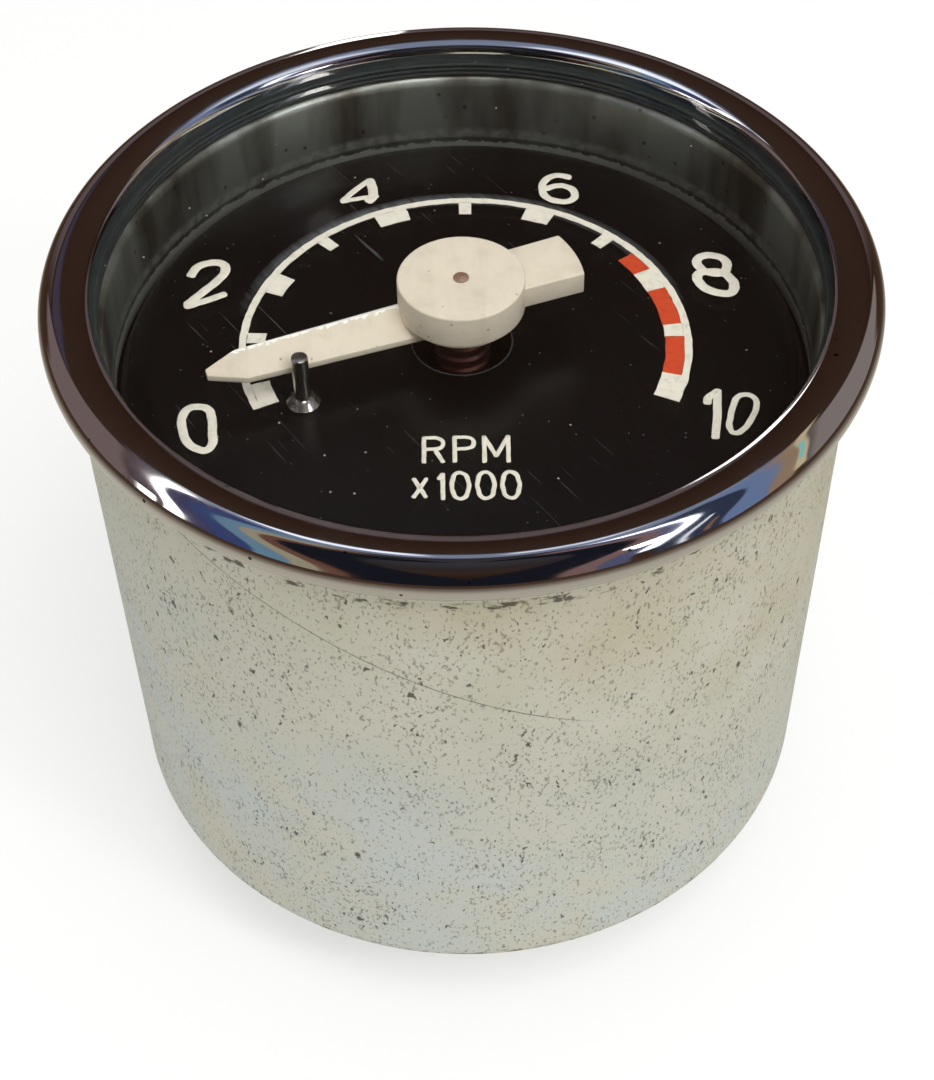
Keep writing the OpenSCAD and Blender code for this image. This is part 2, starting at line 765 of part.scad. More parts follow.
module pointer_spindle() {
    foot_z = spindle_top_z - jewel_h + seat;
    color("#7a5a48") union() {
        translate([0, 0, foot_z]) cylinder(r = pivot_r, h = pivot_l);
        translate([0, 0, foot_z + pivot_l]) cylinder(r = pointer_spindle_r, h = hub_top_z - foot_z - pivot_l);
    }
}

module pointer_bush() {
    color("#6b2f24") tube(pointer_bush_d / 2, pointer_spindle_r, eye_z - pointer_bush_l, pointer_bush_l);
}

// The pressed blade: a round eye under the hub, and a folded, tapering point
module pointer_blade() {
    h = blade_root_w / 2;
    fold_y = -0.6 * h;
    far_drop = 0.2 * blade_fold;
    low = eye_z - 0.5 * blade_fold;
    ridge = low + blade_t + blade_fold;
    start = pointer_bush_d / 2 + pass;
    color("#ebe4d0") rotate([0, 0, rest_deg]) difference() {
        union() {
            translate([0, 0, eye_z]) cylinder(r = hub_d / 2 - eye_rim, h = blade_t);
            intersection() {
                translate([start, 0, 0]) rotate([90, 0, 90]) linear_extrude(height = blade_reach)
                    polygon([
                        [h, low], [h, low + blade_t], [fold_y, ridge], [-h, ridge - far_drop],
                        [-h, ridge - far_drop - blade_t], [fold_y, ridge - blade_t]]);
                translate([0, 0, low - 1]) linear_extrude(height = ridge - low + 2) polygon([
                    [0, h], [blade_shoulder, blade_shoulder_w / 2],
                    [blade_reach, blade_tip_w / 2], [blade_reach, -blade_tip_w / 2],
                    [blade_shoulder, -blade_shoulder_w / 2], [0, -h]]);
            }
        }
        translate([0, 0, hub_z]) cylinder(r = hub_d / 2 + seat / 2, h = hub_t);
        translate([0, 0, eye_z - 1]) cylinder(r = pointer_spindle_r, h = blade_t + 2);
    }
}

// The round hub with its balancing tail
module pointer_hub() {
    r = hub_d / 2;
    c = 0.2;
    color("#ebe4d0") difference() {
        union() {
            translate([0, 0, hub_z]) rotate_extrude() polygon([
                [0, 0], [r - c, 0], [r, c], [r, hub_t - c], [r - c, hub_t], [0, hub_t]]);
            rotate([0, 0, rest_deg + 180]) translate([0, 0, hub_top_z - tail_drop - tail_t])
                linear_extrude(height = tail_t) intersection() {
                    polygon([
                        [0, -tail_root_w / 2], [tail_reach, -tail_w / 2],
                        [tail_reach + 1, -tail_w / 2], [tail_reach + 1, tail_w / 2],
                        [tail_reach, tail_w / 2], [0, tail_root_w / 2]]);
                    circle(r = tail_reach);
                }
        }
        translate([0, 0, hub_z - 1]) cylinder(r = pointer_spindle_r, h = hub_t + 2);
    }
}

case();
bezel();
glass();
glass_gasket();
spacer_ring();
dial();
dial_dowels();
stop_pin();
movement_frame();
frame_gasket();
frame_screws();
frame_screw_washers();
cable_union();
union_washer();
lower_bush();
upper_bush();
mounting_studs();
stud_nuts();
stud_washers();
flux_yoke();
bridge_pillars();
top_bridge();
bridge_screws();
pointer_bearing();
hairspring_regulator();
hairspring_stud();
hairspring();
drive_spindle();
pivot_jewel();
thrust_washer();
magnet_hub();
magnet();
compensator_ring();
magnet_clip();
drag_cup();
cup_collet();
hairspring_collet();
pointer_spindle();
pointer_bush();
pointer_blade();
pointer_hub();
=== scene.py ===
"""Looks of a cable driven motorcycle tachometer, made round its packed construction.

The shapes are worked out in millimetres and scaled to metres when a piece is finished. The
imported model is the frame: what stands in a place there stands in the same place here.
"""

import json
import math

import bmesh
import bpy
from mathutils import Matrix, Vector, noise

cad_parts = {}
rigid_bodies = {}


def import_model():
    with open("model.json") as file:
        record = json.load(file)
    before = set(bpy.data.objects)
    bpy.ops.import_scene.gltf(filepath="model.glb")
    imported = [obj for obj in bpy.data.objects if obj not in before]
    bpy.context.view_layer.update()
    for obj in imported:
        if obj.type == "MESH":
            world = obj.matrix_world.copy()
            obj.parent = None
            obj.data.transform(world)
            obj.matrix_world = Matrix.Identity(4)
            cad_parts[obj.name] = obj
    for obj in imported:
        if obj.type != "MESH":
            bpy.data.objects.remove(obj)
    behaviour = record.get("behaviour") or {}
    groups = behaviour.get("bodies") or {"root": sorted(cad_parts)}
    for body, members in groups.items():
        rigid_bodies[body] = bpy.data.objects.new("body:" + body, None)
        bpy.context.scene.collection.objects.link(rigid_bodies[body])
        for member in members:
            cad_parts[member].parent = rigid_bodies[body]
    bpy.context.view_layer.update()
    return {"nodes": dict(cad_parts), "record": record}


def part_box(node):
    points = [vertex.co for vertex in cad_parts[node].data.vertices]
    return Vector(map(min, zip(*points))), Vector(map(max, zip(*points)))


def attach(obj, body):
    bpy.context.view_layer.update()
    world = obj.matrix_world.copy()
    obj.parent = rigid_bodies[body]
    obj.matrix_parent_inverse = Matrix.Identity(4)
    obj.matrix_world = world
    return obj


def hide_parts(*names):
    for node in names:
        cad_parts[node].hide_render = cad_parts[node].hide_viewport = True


bl_info = {
    "name": "Motorcycle Tachometer",
    "version": (1, 0, 0),
    "blender": (4, 5, 0),
    "location": "3D View > Sidebar > Tachometer",
    "description": "Finishes, dial print and turned details of a cable driven tachometer",
    "category": "Add Mesh",
}

MM = 0.001
MERGE = 0.0005
ROUND_STEPS = 240

for leftover in list(bpy.data.objects):
    bpy.data.objects.remove(leftover)
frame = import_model()
mounts = {mount["name"]: mount["dims"] for mount in frame["record"]["mounts"]}


def span(node):
    """Lowest and highest corner of a node of the frame, in millimetres."""
    low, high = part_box(node)
    return low / MM, high / MM


def linear(colour):
    """An sRGB hex colour as linear RGBA."""
    parts = [int(colour[i:i + 2], 16) / 255 for i in (1, 3, 5)]
    return tuple(c / 12.92 if c <= 0.04045 else ((c + 0.055) / 1.055) ** 2.4 for c in parts) + (1.0,)


def per_mm(spacing):
    """Scale of a texture whose features lie that many millimetres apart, on coordinates in metres."""
    return 1 / (spacing * MM)


def add(tree, kind, settings=None, links=None):
    """Adds a node. Lower case settings are its properties, the others are its sockets; links feed sockets.

    A socket goes by its name, or by its number among those in use where several share a name.
    """
    node = tree.nodes.new("ShaderNode" + kind)

    def socket(name):
        used = [s for s in node.inputs if s.enabled]
        return used[name] if isinstance(name, int) else next(s for s in used if s.name == name)

    for name, value in (settings or {}).items():
        if isinstance(name, str) and name[0].islower():
            setattr(node, name, value)
        else:
            socket(name).default_value = value
    for name, source in (links or {}).items():
        if isinstance(source, bpy.types.Node):
            source = next(s for s in source.outputs if s.enabled)
        tree.links.new(source, socket(name))
    return node


def length(name, description, millimetres):
    """A length that a user can set."""
    return bpy.props.FloatProperty(
        name=name, description=description, default=millimetres * MM, unit="LENGTH", precision=5)


def tint(name, description, colour):
    """A colour that a user can set."""
    return bpy.props.FloatVectorProperty(
        name=name, description=description, default=linear(colour), size=4,
        subtype="COLOR", min=0, max=1)


class TachoSizes(bpy.types.PropertyGroup):
    """Sizes of what is modelled here."""

    bezel_sheet: length("Bezel sheet", "Thickness of the bezel's sheet", 0.7)
    bezel_lip: length("Bezel lip", "How far the lip reaches in over the glass", 1.5)
    bezel_crown: length("Bezel crown", "How far the crown stands over the lip", 0.5)
    case_sheet: length("Case sheet", "Thickness of the case's sheet", 1.0)
    case_corner: length("Case corner", "Outside radius of the corner at the back", 2.0)
    glass_edge: length("Glass edge", "Chamfer round the glass", 0.3)
    ring_sheet: length("Ring sheet", "Thickness of the spacer ring's sheet", 0.8)
    ring_bend: length("Ring bend", "Radius of the curves at the ring's head and foot", 1.2)
    ring_reach: length("Ring flange", "Width of the ring's flanges", 2.4)
    gasket_width: length("Gasket width", "Width of the rubber gasket", 2.1)
    print_height: length("Print height", "How far the paint of the scale stands over the dial", 0.06)
    arc_outer: length("Arc outside", "Outside radius of the scale's arc", 23.7)
    arc_inner: length("Arc inside", "Inside radius of the scale's arc", 22.9)
    block_inner: length("Block inside", "Radius that the blocks of the scale reach in to", 20.9)
    letter_stroke: length("Letter stroke", "Width of the strokes of the lettering", 0.46)
    hub_radius: length("Hub radius", "Radius of the pointer's hub", 6.55)
    hub_height: length("Hub height", "Thickness of the pointer's hub", 3.7)
    tail_root: length("Tail root", "Width of the tail at the hub", 6.4)
    tail_end: length("Tail end", "Width of the tail at its end", 6.7)
    tail_height: length("Tail height", "Thickness of the tail", 2.5)
    tail_drop: length("Tail drop", "How far the tail's top lies below the hub's top", 0.9)
    tail_reach: length("Tail reach", "Radius of the tail's round end", 12.7)
    blade_root: length("Blade root", "Width of the blade at the centre", 4.2)
    blade_shoulder: length("Blade shoulder", "Distance of the shoulder from the centre", 23.5)
    blade_waist: length("Blade width", "Width of the blade at its shoulder", 2.9)
    blade_reach: length("Blade reach", "Distance of the tip from the centre", 27.3)
    blade_tip: length("Blade tip", "Width of the blunt tip", 0.6)
    blade_sheet: length("Blade sheet", "Thickness of the blade's sheet", 0.7)
    blade_fold: length("Blade fold", "Height of the ridge over the low edge", 2.0)
    pin_radius: length("Pin radius", "Radius of the stop pin", 0.875)
    thread_pitch: length("Union pitch", "Pitch of the cable union's thread", 1.0)
    stud_pitch: length("Stud pitch", "Pitch of the studs' threads", 0.8)
    rest_angle: bpy.props.FloatProperty(
        name="Rest", description="Direction of the pointer at rest",
        default=math.radians(201), subtype="ANGLE")


class TachoColours(bpy.types.PropertyGroup):
    """Colours of the finishes."""

    zinc: tint("Zinc", "Plate of the case", "#c6c4b6")
    zinc_warm: tint("Warm zinc", "Yellowed patches of the case's plate", "#bdb8a0")
    zinc_cool: tint("Cool zinc", "Bluish patches of the case's plate", "#c0c6c3")
    pit: tint("Pit", "Corroded pits in the case's plate", "#3a3629")
    chrome: tint("Chrome", "Chrome plate of the bezel", "#cdc9c6")
    rubber: tint("Rubber", "Gasket under the glass", "#1c2120")
    ring_plate: tint("Ring plate", "Plate of the spacer ring", "#9ea39b")
    ring_dark: tint("Ring tarnish", "Tarnish of the spacer ring", "#57544a")
    enamel: tint("Enamel", "Black enamel of the dial", "#080807")
    scale_white: tint("Scale white", "White paint of the scale", "#f2ecda")
    scale_red: tint("Scale red", "Red paint of the scale", "#d9481a")
    cream: tint("Cream", "Paint of the pointer", "#e4d9c3")
    cream_dirt: tint("Cream dirt", "Worn and dirty paint of the pointer", "#b0a287")


MATERIALS = {}


def bare_material(name):
    """A new material and its empty node tree."""
    material = bpy.data.materials.new(name)
    material.use_nodes = True
    material.node_tree.nodes.clear()
    return material, material.node_tree


def surface(name):
    """A new material with its node tree and the coordinates of the piece, in metres."""
    material, tree = bare_material(name)
    return material, tree, add(tree, "TexCoord").outputs["Object"]


def shade(tree, settings, links):
    """The Principled shader that ends a material."""
    shader = add(tree, "BsdfPrincipled", settings, links)
    add(tree, "OutputMaterial", {}, {"Surface": shader})


def zinc_plate(colours):
    """Zinc plated sheet, decades old."""
    # Zinc dulls to a soft grey sheen, yellow where its passivation stays and blue where it has gone,
    # and corrosion eats small dark pits into it, dense in clouds and a little upright
    material, tree, place = surface("zinc_plate")
    cloud = add(tree, "TexNoise", {"Scale": per_mm(14), "Detail": 3.0, "Roughness": 0.6}, {"Vector": place})
    parts = add(tree, "SeparateXYZ", {}, {"Vector": place})
    across = add(tree, "Math", {"operation": "MULTIPLY", 1: 0.5}, {0: parts.outputs["X"]})
    lean = add(tree, "Math", {"operation": "ADD"}, {0: parts.outputs["Z"], 1: across})
    rise = add(tree, "MapRange", {"From Min": 32 * MM, "From Max": 70 * MM}, {"Value": lean})
    tone = add(tree, "Mix", {"data_type": "RGBA", "A": colours.zinc_cool, "B": colours.zinc_warm},
               {"Factor": rise})
    spread = add(tree, "MapRange", {"From Min": 0.35, "From Max": 0.65}, {"Value": cloud})
    plate = add(tree, "Mix", {"data_type": "RGBA", "B": colours.zinc}, {"Factor": spread, "A": tone})
    crowd = add(tree, "TexNoise", {"Scale": per_mm(8), "Detail": 5.0, "Roughness": 0.62}, {"Vector": place})
    upright = add(tree, "Mapping", {"Scale": (1, 1, 0.6)}, {"Vector": place})
    limit = add(tree, "MapRange", {"From Min": 0.35, "From Max": 0.68, "To Min": 0.62, "To Max": 0.53},
                {"Value": crowd})
    fine = add(tree, "TexNoise", {"Scale": per_mm(0.34), "Detail": 1.0, "Roughness": 0.6},
               {"Vector": upright})
    over = add(tree, "Math", {"operation": "SUBTRACT"}, {0: fine, 1: limit})
    specks = add(tree, "MapRange", {"From Min": 0.0, "From Max": 0.12, "To Max": 0.5}, {"Value": over})
    mid = add(tree, "TexNoise", {"Scale": per_mm(0.7), "Detail": 2.0, "Roughness": 0.6, "Distortion": 0.4},
              {"Vector": upright})
    twice = add(tree, "Math", {"operation": "SUBTRACT"}, {0: mid, 1: limit})
    pits = add(tree, "MapRange", {"From Min": 0.09, "From Max": 0.13, "To Max": 0.85}, {"Value": twice})
    cells = add(tree, "TexVoronoi", {"Scale": per_mm(4.2)}, {"Vector": upright})
    big = add(tree, "MapRange", {"From Min": 0.11, "From Max": 0.05, "To Max": 0.9},
              {"Value": cells.outputs["Distance"]})
    torn = add(tree, "MapRange", {"From Min": 0.42, "From Max": 0.5}, {"Value": mid})
    ragged = add(tree, "Math", {"operation": "MULTIPLY"}, {0: big, 1: torn})
    dots = add(tree, "Math", {"operation": "MAXIMUM"}, {0: specks, 1: pits})
    dots = add(tree, "Math", {"operation": "MAXIMUM"}, {0: dots, 1: ragged})
    chipped = zinc_edges(tree, parts, place)
    dark = add(tree, "Math", {"operation": "MAXIMUM"}, {0: dots, 1: chipped})
    scratch = zinc_scratch(tree, parts, mid)
    dark = add(tree, "Math", {"operation": "MAXIMUM"}, {0: dark, 1: scratch})
    # Painted highlight: a pale line along the plate just under the bezel
    pale = zinc_rim_highlight(tree, parts)
    lightened = add(tree, "Mix", {"data_type": "RGBA", "B": linear("#dcd8ce")}, {"Factor": pale, "A": plate})
    worn = add(tree, "Mix", {"data_type": "RGBA", "B": colours.pit}, {"Factor": dark, "A": lightened})
    rough = add(tree, "MapRange", {"To Min": 0.42, "To Max": 0.58}, {"Value": crowd})
    hollow = add(tree, "Bump", {"invert": True, "Strength": 0.5, "Distance": 0.05 * MM}, {"Height": dark})
    shade(tree, {"Metallic": 0.3}, {"Base Color": worn, "Roughness": rough, "Normal": hollow})
    return material


def band(tree, value, low, high, soft):
    """One between two heights in millimetres and nothing outside them, with a soft border."""
    rise = add(tree, "MapRange", {"From Min": (low - soft) * MM, "From Max": low * MM}, {"Value": value})
    fall = add(tree, "MapRange", {"From Min": (high + soft) * MM, "From Max": high * MM}, {"Value": value})
    return add(tree, "Math", {"operation": "MULTIPLY"}, {0: rise, 1: fall})


def zinc_edges(tree, parts, place):
    """Dark chips in the plate close under the bezel and round the corner of the back."""
    low, high = span("case")
    around = add(tree, "Mapping", {"Scale": (0.5, 0.5, 1.4)}, {"Vector": place})
    torn = add(tree, "TexNoise", {"Scale": per_mm(1.2), "Detail": 4.0, "Roughness": 0.6}, {"Vector": around})
    flakes = add(tree, "MapRange", {"From Min": 0.53, "From Max": 0.6, "To Max": 0.85}, {"Value": torn})
    under = band(tree, parts.outputs["Z"], high.z - 4.9, high.z - 4.1, 0.35)
    corner = band(tree, parts.outputs["Z"], low.z + 0.5, low.z + 1.6, 0.4)
    where = add(tree, "Math", {"operation": "MAXIMUM"}, {0: under, 1: corner})
    return add(tree, "Math", {"operation": "MULTIPLY"}, {0: where, 1: flakes})


def zinc_rim_highlight(tree, parts):
    """A painted highlight: a pale line along the plate just under the bezel."""
    top = span("case")[1].z
    line = band(tree, parts.outputs["Z"], top - 3.7, top - 2.4, 0.25)
    return add(tree, "Math", {"operation": "MULTIPLY", 1: 0.5}, {0: line})


def zinc_scratch(tree, parts, mid):
    """A hairline scratch across the front, falling to the right."""
    height = 60
    fall = 0.5
    lean = add(tree, "Math", {"operation": "MULTIPLY", 1: fall}, {0: parts.outputs["X"]})
    level = add(tree, "Math", {"operation": "ADD"}, {0: parts.outputs["Z"], 1: lean})
    line = band(tree, level, height - 0.03, height + 0.03, 0.06)
    reach = band(tree, parts.outputs["X"], -32, 9, 4)
    front = add(tree, "MapRange", {"From Min": -1 * MM, "From Max": -5 * MM}, {"Value": parts.outputs["Y"]})
    whole = add(tree, "Math", {"operation": "MULTIPLY"}, {0: reach, 1: front})
    broken = add(tree, "MapRange", {"From Min": 0.3, "From Max": 0.5, "To Min": 0.35, "To Max": 0.8},
                 {"Value": mid})
    cut_line = add(tree, "Math", {"operation": "MULTIPLY"}, {0: line, 1: whole})
    return add(tree, "Math", {"operation": "MULTIPLY"}, {0: cut_line, 1: broken})


def chrome_plate(colours):
    """Bright chrome over rolled sheet."""
    # Chrome mirrors the room almost sharply, with faint smears and a few rust spots
    material, tree, place = surface("chrome_plate")
    streaks = add(tree, "TexNoise", {"Scale": per_mm(9), "Detail": 4.0, "Distortion": 0.8}, {"Vector": place})
    rough = add(tree, "MapRange", {"From Min": 0.4, "From Max": 0.8, "To Min": 0.03, "To Max": 0.13},
                {"Value": streaks})
    cells = add(tree, "TexVoronoi", {"Scale": per_mm(3.4)}, {"Vector": place})
    spots = add(tree, "MapRange", {"From Min": 0.075, "From Max": 0.045},
                {"Value": cells.outputs["Distance"]})
    plate = add(tree, "Mix", {"data_type": "RGBA", "A": colours.chrome, "B": colours.pit}, {"Factor": spots})
    wave = add(tree, "TexNoise", {"Scale": per_mm(5), "Detail": 1.0}, {"Vector": place})
    dent = add(tree, "Bump", {"Strength": 0.12, "Distance": 0.1 * MM}, {"Height": wave})
    shade(tree, {"Metallic": 1.0}, {"Base Color": plate, "Roughness": rough, "Normal": dent})
    return material


def sheet_glass():
    """Flat drawn glass, clear and polished, which lets the light through to the dial."""
    # Glass is seen by what it mirrors at a slant, by how it lifts the dial, and by a little dust
    material, tree, place = surface("sheet_glass")
    clear = add(tree, "BsdfPrincipled", {
        "Base Color": linear("#fefefe"), "Roughness": 0.0, "IOR": 1.5, "Transmission Weight": 1.0})
    dust = add(tree, "BsdfDiffuse", {"Color": linear("#c9c6bd")})
    cells = add(tree, "TexVoronoi", {"Scale": per_mm(3.6)}, {"Vector": place})
    grain = add(tree, "MapRange", {"From Min": 0.04, "From Max": 0.02, "To Max": 0.5},
                {"Value": cells.outputs["Distance"]})
    dusty = add(tree, "MixShader", {}, {0: grain, 1: clear, 2: dust})
    through = add(tree, "BsdfTransparent", {"Color": linear("#fafafa")})
    path = add(tree, "LightPath")
    light = add(tree, "Math", {"operation": "MAXIMUM"},
                {0: path.outputs["Is Shadow Ray"], 1: path.outputs["Is Diffuse Ray"]})
    both = add(tree, "MixShader", {}, {0: light, 1: dusty, 2: through})
    add(tree, "OutputMaterial", {}, {"Surface": both})
    return material


def nitrile_rubber(colours):
    """Moulded rubber, grey-green with age."""
    # Rubber swallows light and keeps a faint bloom of dust in its lines
    material, tree, place = surface("nitrile_rubber")
    bloom = add(tree, "TexNoise", {"Scale": per_mm(2), "Detail": 4.0}, {"Vector": place})
    body = add(tree, "Mix", {"data_type": "RGBA", "A": colours.rubber, "B": linear("#2e3735")},
               {"Factor": bloom})
    grain = add(tree, "Bump", {"Strength": 0.3, "Distance": 0.05 * MM}, {"Height": bloom})
    shade(tree, {"Roughness": 0.6, "Specular IOR Level": 0.35}, {"Base Color": body, "Normal": grain})
    return material


def drawn_plate(colours):
    """Plated sheet, drawn into a ring and turned bright."""
    # Turning leaves level lines that draw a light out upwards, and the plate has gone dull and olive in
    # patches and has worn pale and ragged at the foot, with a painted shadow line just above it
    material, tree, place = surface("drawn_plate")
    level = add(tree, "Mapping", {"Scale": (0.04, 0.04, 1)}, {"Vector": place})
    lines = add(tree, "TexNoise", {"Scale": per_mm(0.22), "Detail": 4.0, "Roughness": 0.7}, {"Vector": level})
    upright = add(tree, "Mapping", {"Scale": (1, 1, 0.25)}, {"Vector": place})
    tarnish = add(tree, "TexNoise", {"Scale": per_mm(9), "Detail": 4.0}, {"Vector": upright})
    spread = add(tree, "MapRange", {"From Min": 0.42, "From Max": 0.62}, {"Value": tarnish})
    plate = add(tree, "Mix", {"data_type": "RGBA", "A": colours.ring_plate, "B": colours.ring_dark},
                {"Factor": spread})
    cells = add(tree, "TexVoronoi", {"Scale": per_mm(2.6)}, {"Vector": place})
    stain = add(tree, "MapRange", {"From Min": 0.13, "From Max": 0.06, "To Max": 0.7},
                {"Value": cells.outputs["Distance"]})
    stained = add(tree, "Mix", {"data_type": "RGBA", "B": linear("#26251f")}, {"Factor": stain, "A": plate})
    height = add(tree, "SeparateXYZ", {}, {"Vector": place}).outputs["Z"]
    ragged = add(tree, "TexNoise", {"Scale": per_mm(1.0), "Detail": 4.0}, {"Vector": place})
    foot = span("spacer_ring")[0].z
    wobble = add(tree, "MapRange", {
        "From Min": 0.3, "From Max": 0.7, "To Min": (foot + 2.3) * MM, "To Max": (foot + 2.9) * MM},
        {"Value": ragged})
    under = add(tree, "Math", {"operation": "SUBTRACT"}, {0: wobble, 1: height})
    bright = add(tree, "MapRange", {"From Min": 0.0, "From Max": 0.12 * MM}, {"Value": under})
    fringe = band(tree, height, foot + 3.3, foot + 3.9, 0.7)
    torn = add(tree, "MapRange", {"From Min": 0.35, "From Max": 0.65, "To Min": 0.15, "To Max": 0.75},
               {"Value": ragged})
    lightened = add(tree, "Math", {"operation": "MULTIPLY"}, {0: fringe, 1: torn})
    paler = add(tree, "Mix", {"data_type": "RGBA", "B": linear("#d0d4c8")}, {"Factor": lightened, "A": stained})
    # Painted shade: a dark line across the wall just above the foot
    groove_shadow = band(tree, height, foot + 2.75, foot + 3.05, 0.2)
    shaded = add(tree, "Math", {"operation": "MULTIPLY", 1: 0.5}, {0: groove_shadow})
    sunk = add(tree, "Mix", {"data_type": "RGBA", "B": linear("#1d1e1b")}, {"Factor": shaded, "A": paler})
    finish = add(tree, "Mix", {"data_type": "RGBA", "B": linear("#e2e5da")}, {"Factor": bright, "A": sunk})
    rough = add(tree, "MapRange", {"To Min": 0.3, "To Max": 0.5}, {"Value": lines})
    turned = add(tree, "Bump", {"Strength": 0.5, "Distance": 0.03 * MM}, {"Height": lines})
    shade(tree, {"Metallic": 0.85}, {"Base Color": finish, "Roughness": rough, "Normal": turned})
    return material


def gloss_enamel(colours):
    """Black stoving enamel on the pressed dial."""
    # Gloss black shows only dust and hairline scratches, with painted light: a grey band outside the arc
    # at the back is a painted reflection of the white scale in the glass, and a thin grey ring round the
    # centre hole is a painted highlight
    material, tree, place = surface("gloss_enamel")
    along = add(tree, "Mapping", {
        "vector_type": "TEXTURE", "Rotation": (0, 0, math.radians(35)), "Scale": (1, 30, 30)},
        {"Vector": place})
    wiped = add(tree, "TexNoise", {"Scale": per_mm(0.35), "Detail": 2.0}, {"Vector": along})
    hairs = add(tree, "MapRange", {"From Min": 0.68, "From Max": 0.76}, {"Value": wiped})
    cells = add(tree, "TexVoronoi", {"Scale": per_mm(1.7)}, {"Vector": place})
    dust = add(tree, "MapRange", {"From Min": 0.07, "From Max": 0.03, "To Max": 0.8},
               {"Value": cells.outputs["Distance"]})
    haze = add(tree, "TexNoise", {"Scale": per_mm(16), "Detail": 3.0}, {"Vector": place})
    veil = add(tree, "MapRange", {"From Min": 0.45, "From Max": 0.7, "To Max": 0.6}, {"Value": haze})
    marks = add(tree, "Math", {"operation": "MULTIPLY"}, {0: hairs, 1: veil})
    parts = add(tree, "SeparateXYZ", {}, {"Vector": place})
    flat = add(tree, "CombineXYZ", {}, {"X": parts.outputs["X"], "Y": parts.outputs["Y"]})
    out = add(tree, "VectorMath", {"operation": "LENGTH"}, {0: flat}).outputs["Value"]
    outer = bpy.context.scene.tacho_sizes.arc_outer / MM
    # Painted reflection: a streaky grey band just outside the arc, only at the back, for the white scale
    # mirrored in the glass
    ring = band(tree, out, outer - 0.3, outer + 0.2, 0.9)
    behind = add(tree, "MapRange", {"From Min": 4 * MM, "From Max": 16 * MM}, {"Value": parts.outputs["Y"]})
    streaky = add(tree, "MapRange", {"From Min": 0.3, "From Max": 0.65, "To Min": 0.25}, {"Value": wiped})
    streaks = add(tree, "Math", {"operation": "MULTIPLY"}, {0: ring, 1: behind})
    streaks = add(tree, "Math", {"operation": "MULTIPLY"}, {0: streaks, 1: streaky})
    grey = add(tree, "Math", {"operation": "MAXIMUM"}, {0: marks, 1: dust})
    grey = add(tree, "Math", {"operation": "MAXIMUM"}, {0: grey, 1: streaks})
    # Painted highlight: a thin grey ring at the edge of the centre hole
    hole_r = 5.2
    rim = band(tree, out, hole_r, hole_r + 0.1, 0.08)
    hole_edge_highlight = add(tree, "Math", {"operation": "MULTIPLY", 1: 0.5}, {0: rim})
    grey = add(tree, "Math", {"operation": "MAXIMUM"}, {0: grey, 1: hole_edge_highlight})
    faint = add(tree, "Math", {"operation": "MULTIPLY", 1: 0.5}, {0: grey})
    enamel = add(tree, "Mix", {"data_type": "RGBA", "A": colours.enamel, "B": linear("#84898a")},
                 {"Factor": faint})
    rough = add(tree, "MapRange", {"To Min": 0.26, "To Max": 0.45}, {"Value": grey})
    shade(tree, {"Specular IOR Level": 0.3}, {"Base Color": enamel, "Roughness": rough})
    return material


def brushed_paint(name, colour, soiled):
    """Sign paint laid on by hand, a little uneven in thickness."""
    material, tree, place = surface(name)
    uneven = add(tree, "TexNoise", {"Scale": per_mm(0.9), "Detail": 5.0, "Roughness": 0.6}, {"Vector": place})
    thin = add(tree, "MapRange", {"From Min": 0.5, "From Max": 0.8, "To Max": 0.6}, {"Value": uneven})
    paint = add(tree, "Mix", {"data_type": "RGBA", "A": colour, "B": soiled}, {"Factor": thin})
    ridges = add(tree, "Bump", {"Strength": 0.3, "Distance": 0.03 * MM}, {"Height": uneven})
    shade(tree, {"Roughness": 0.55}, {"Base Color": paint, "Normal": ridges})
    return material


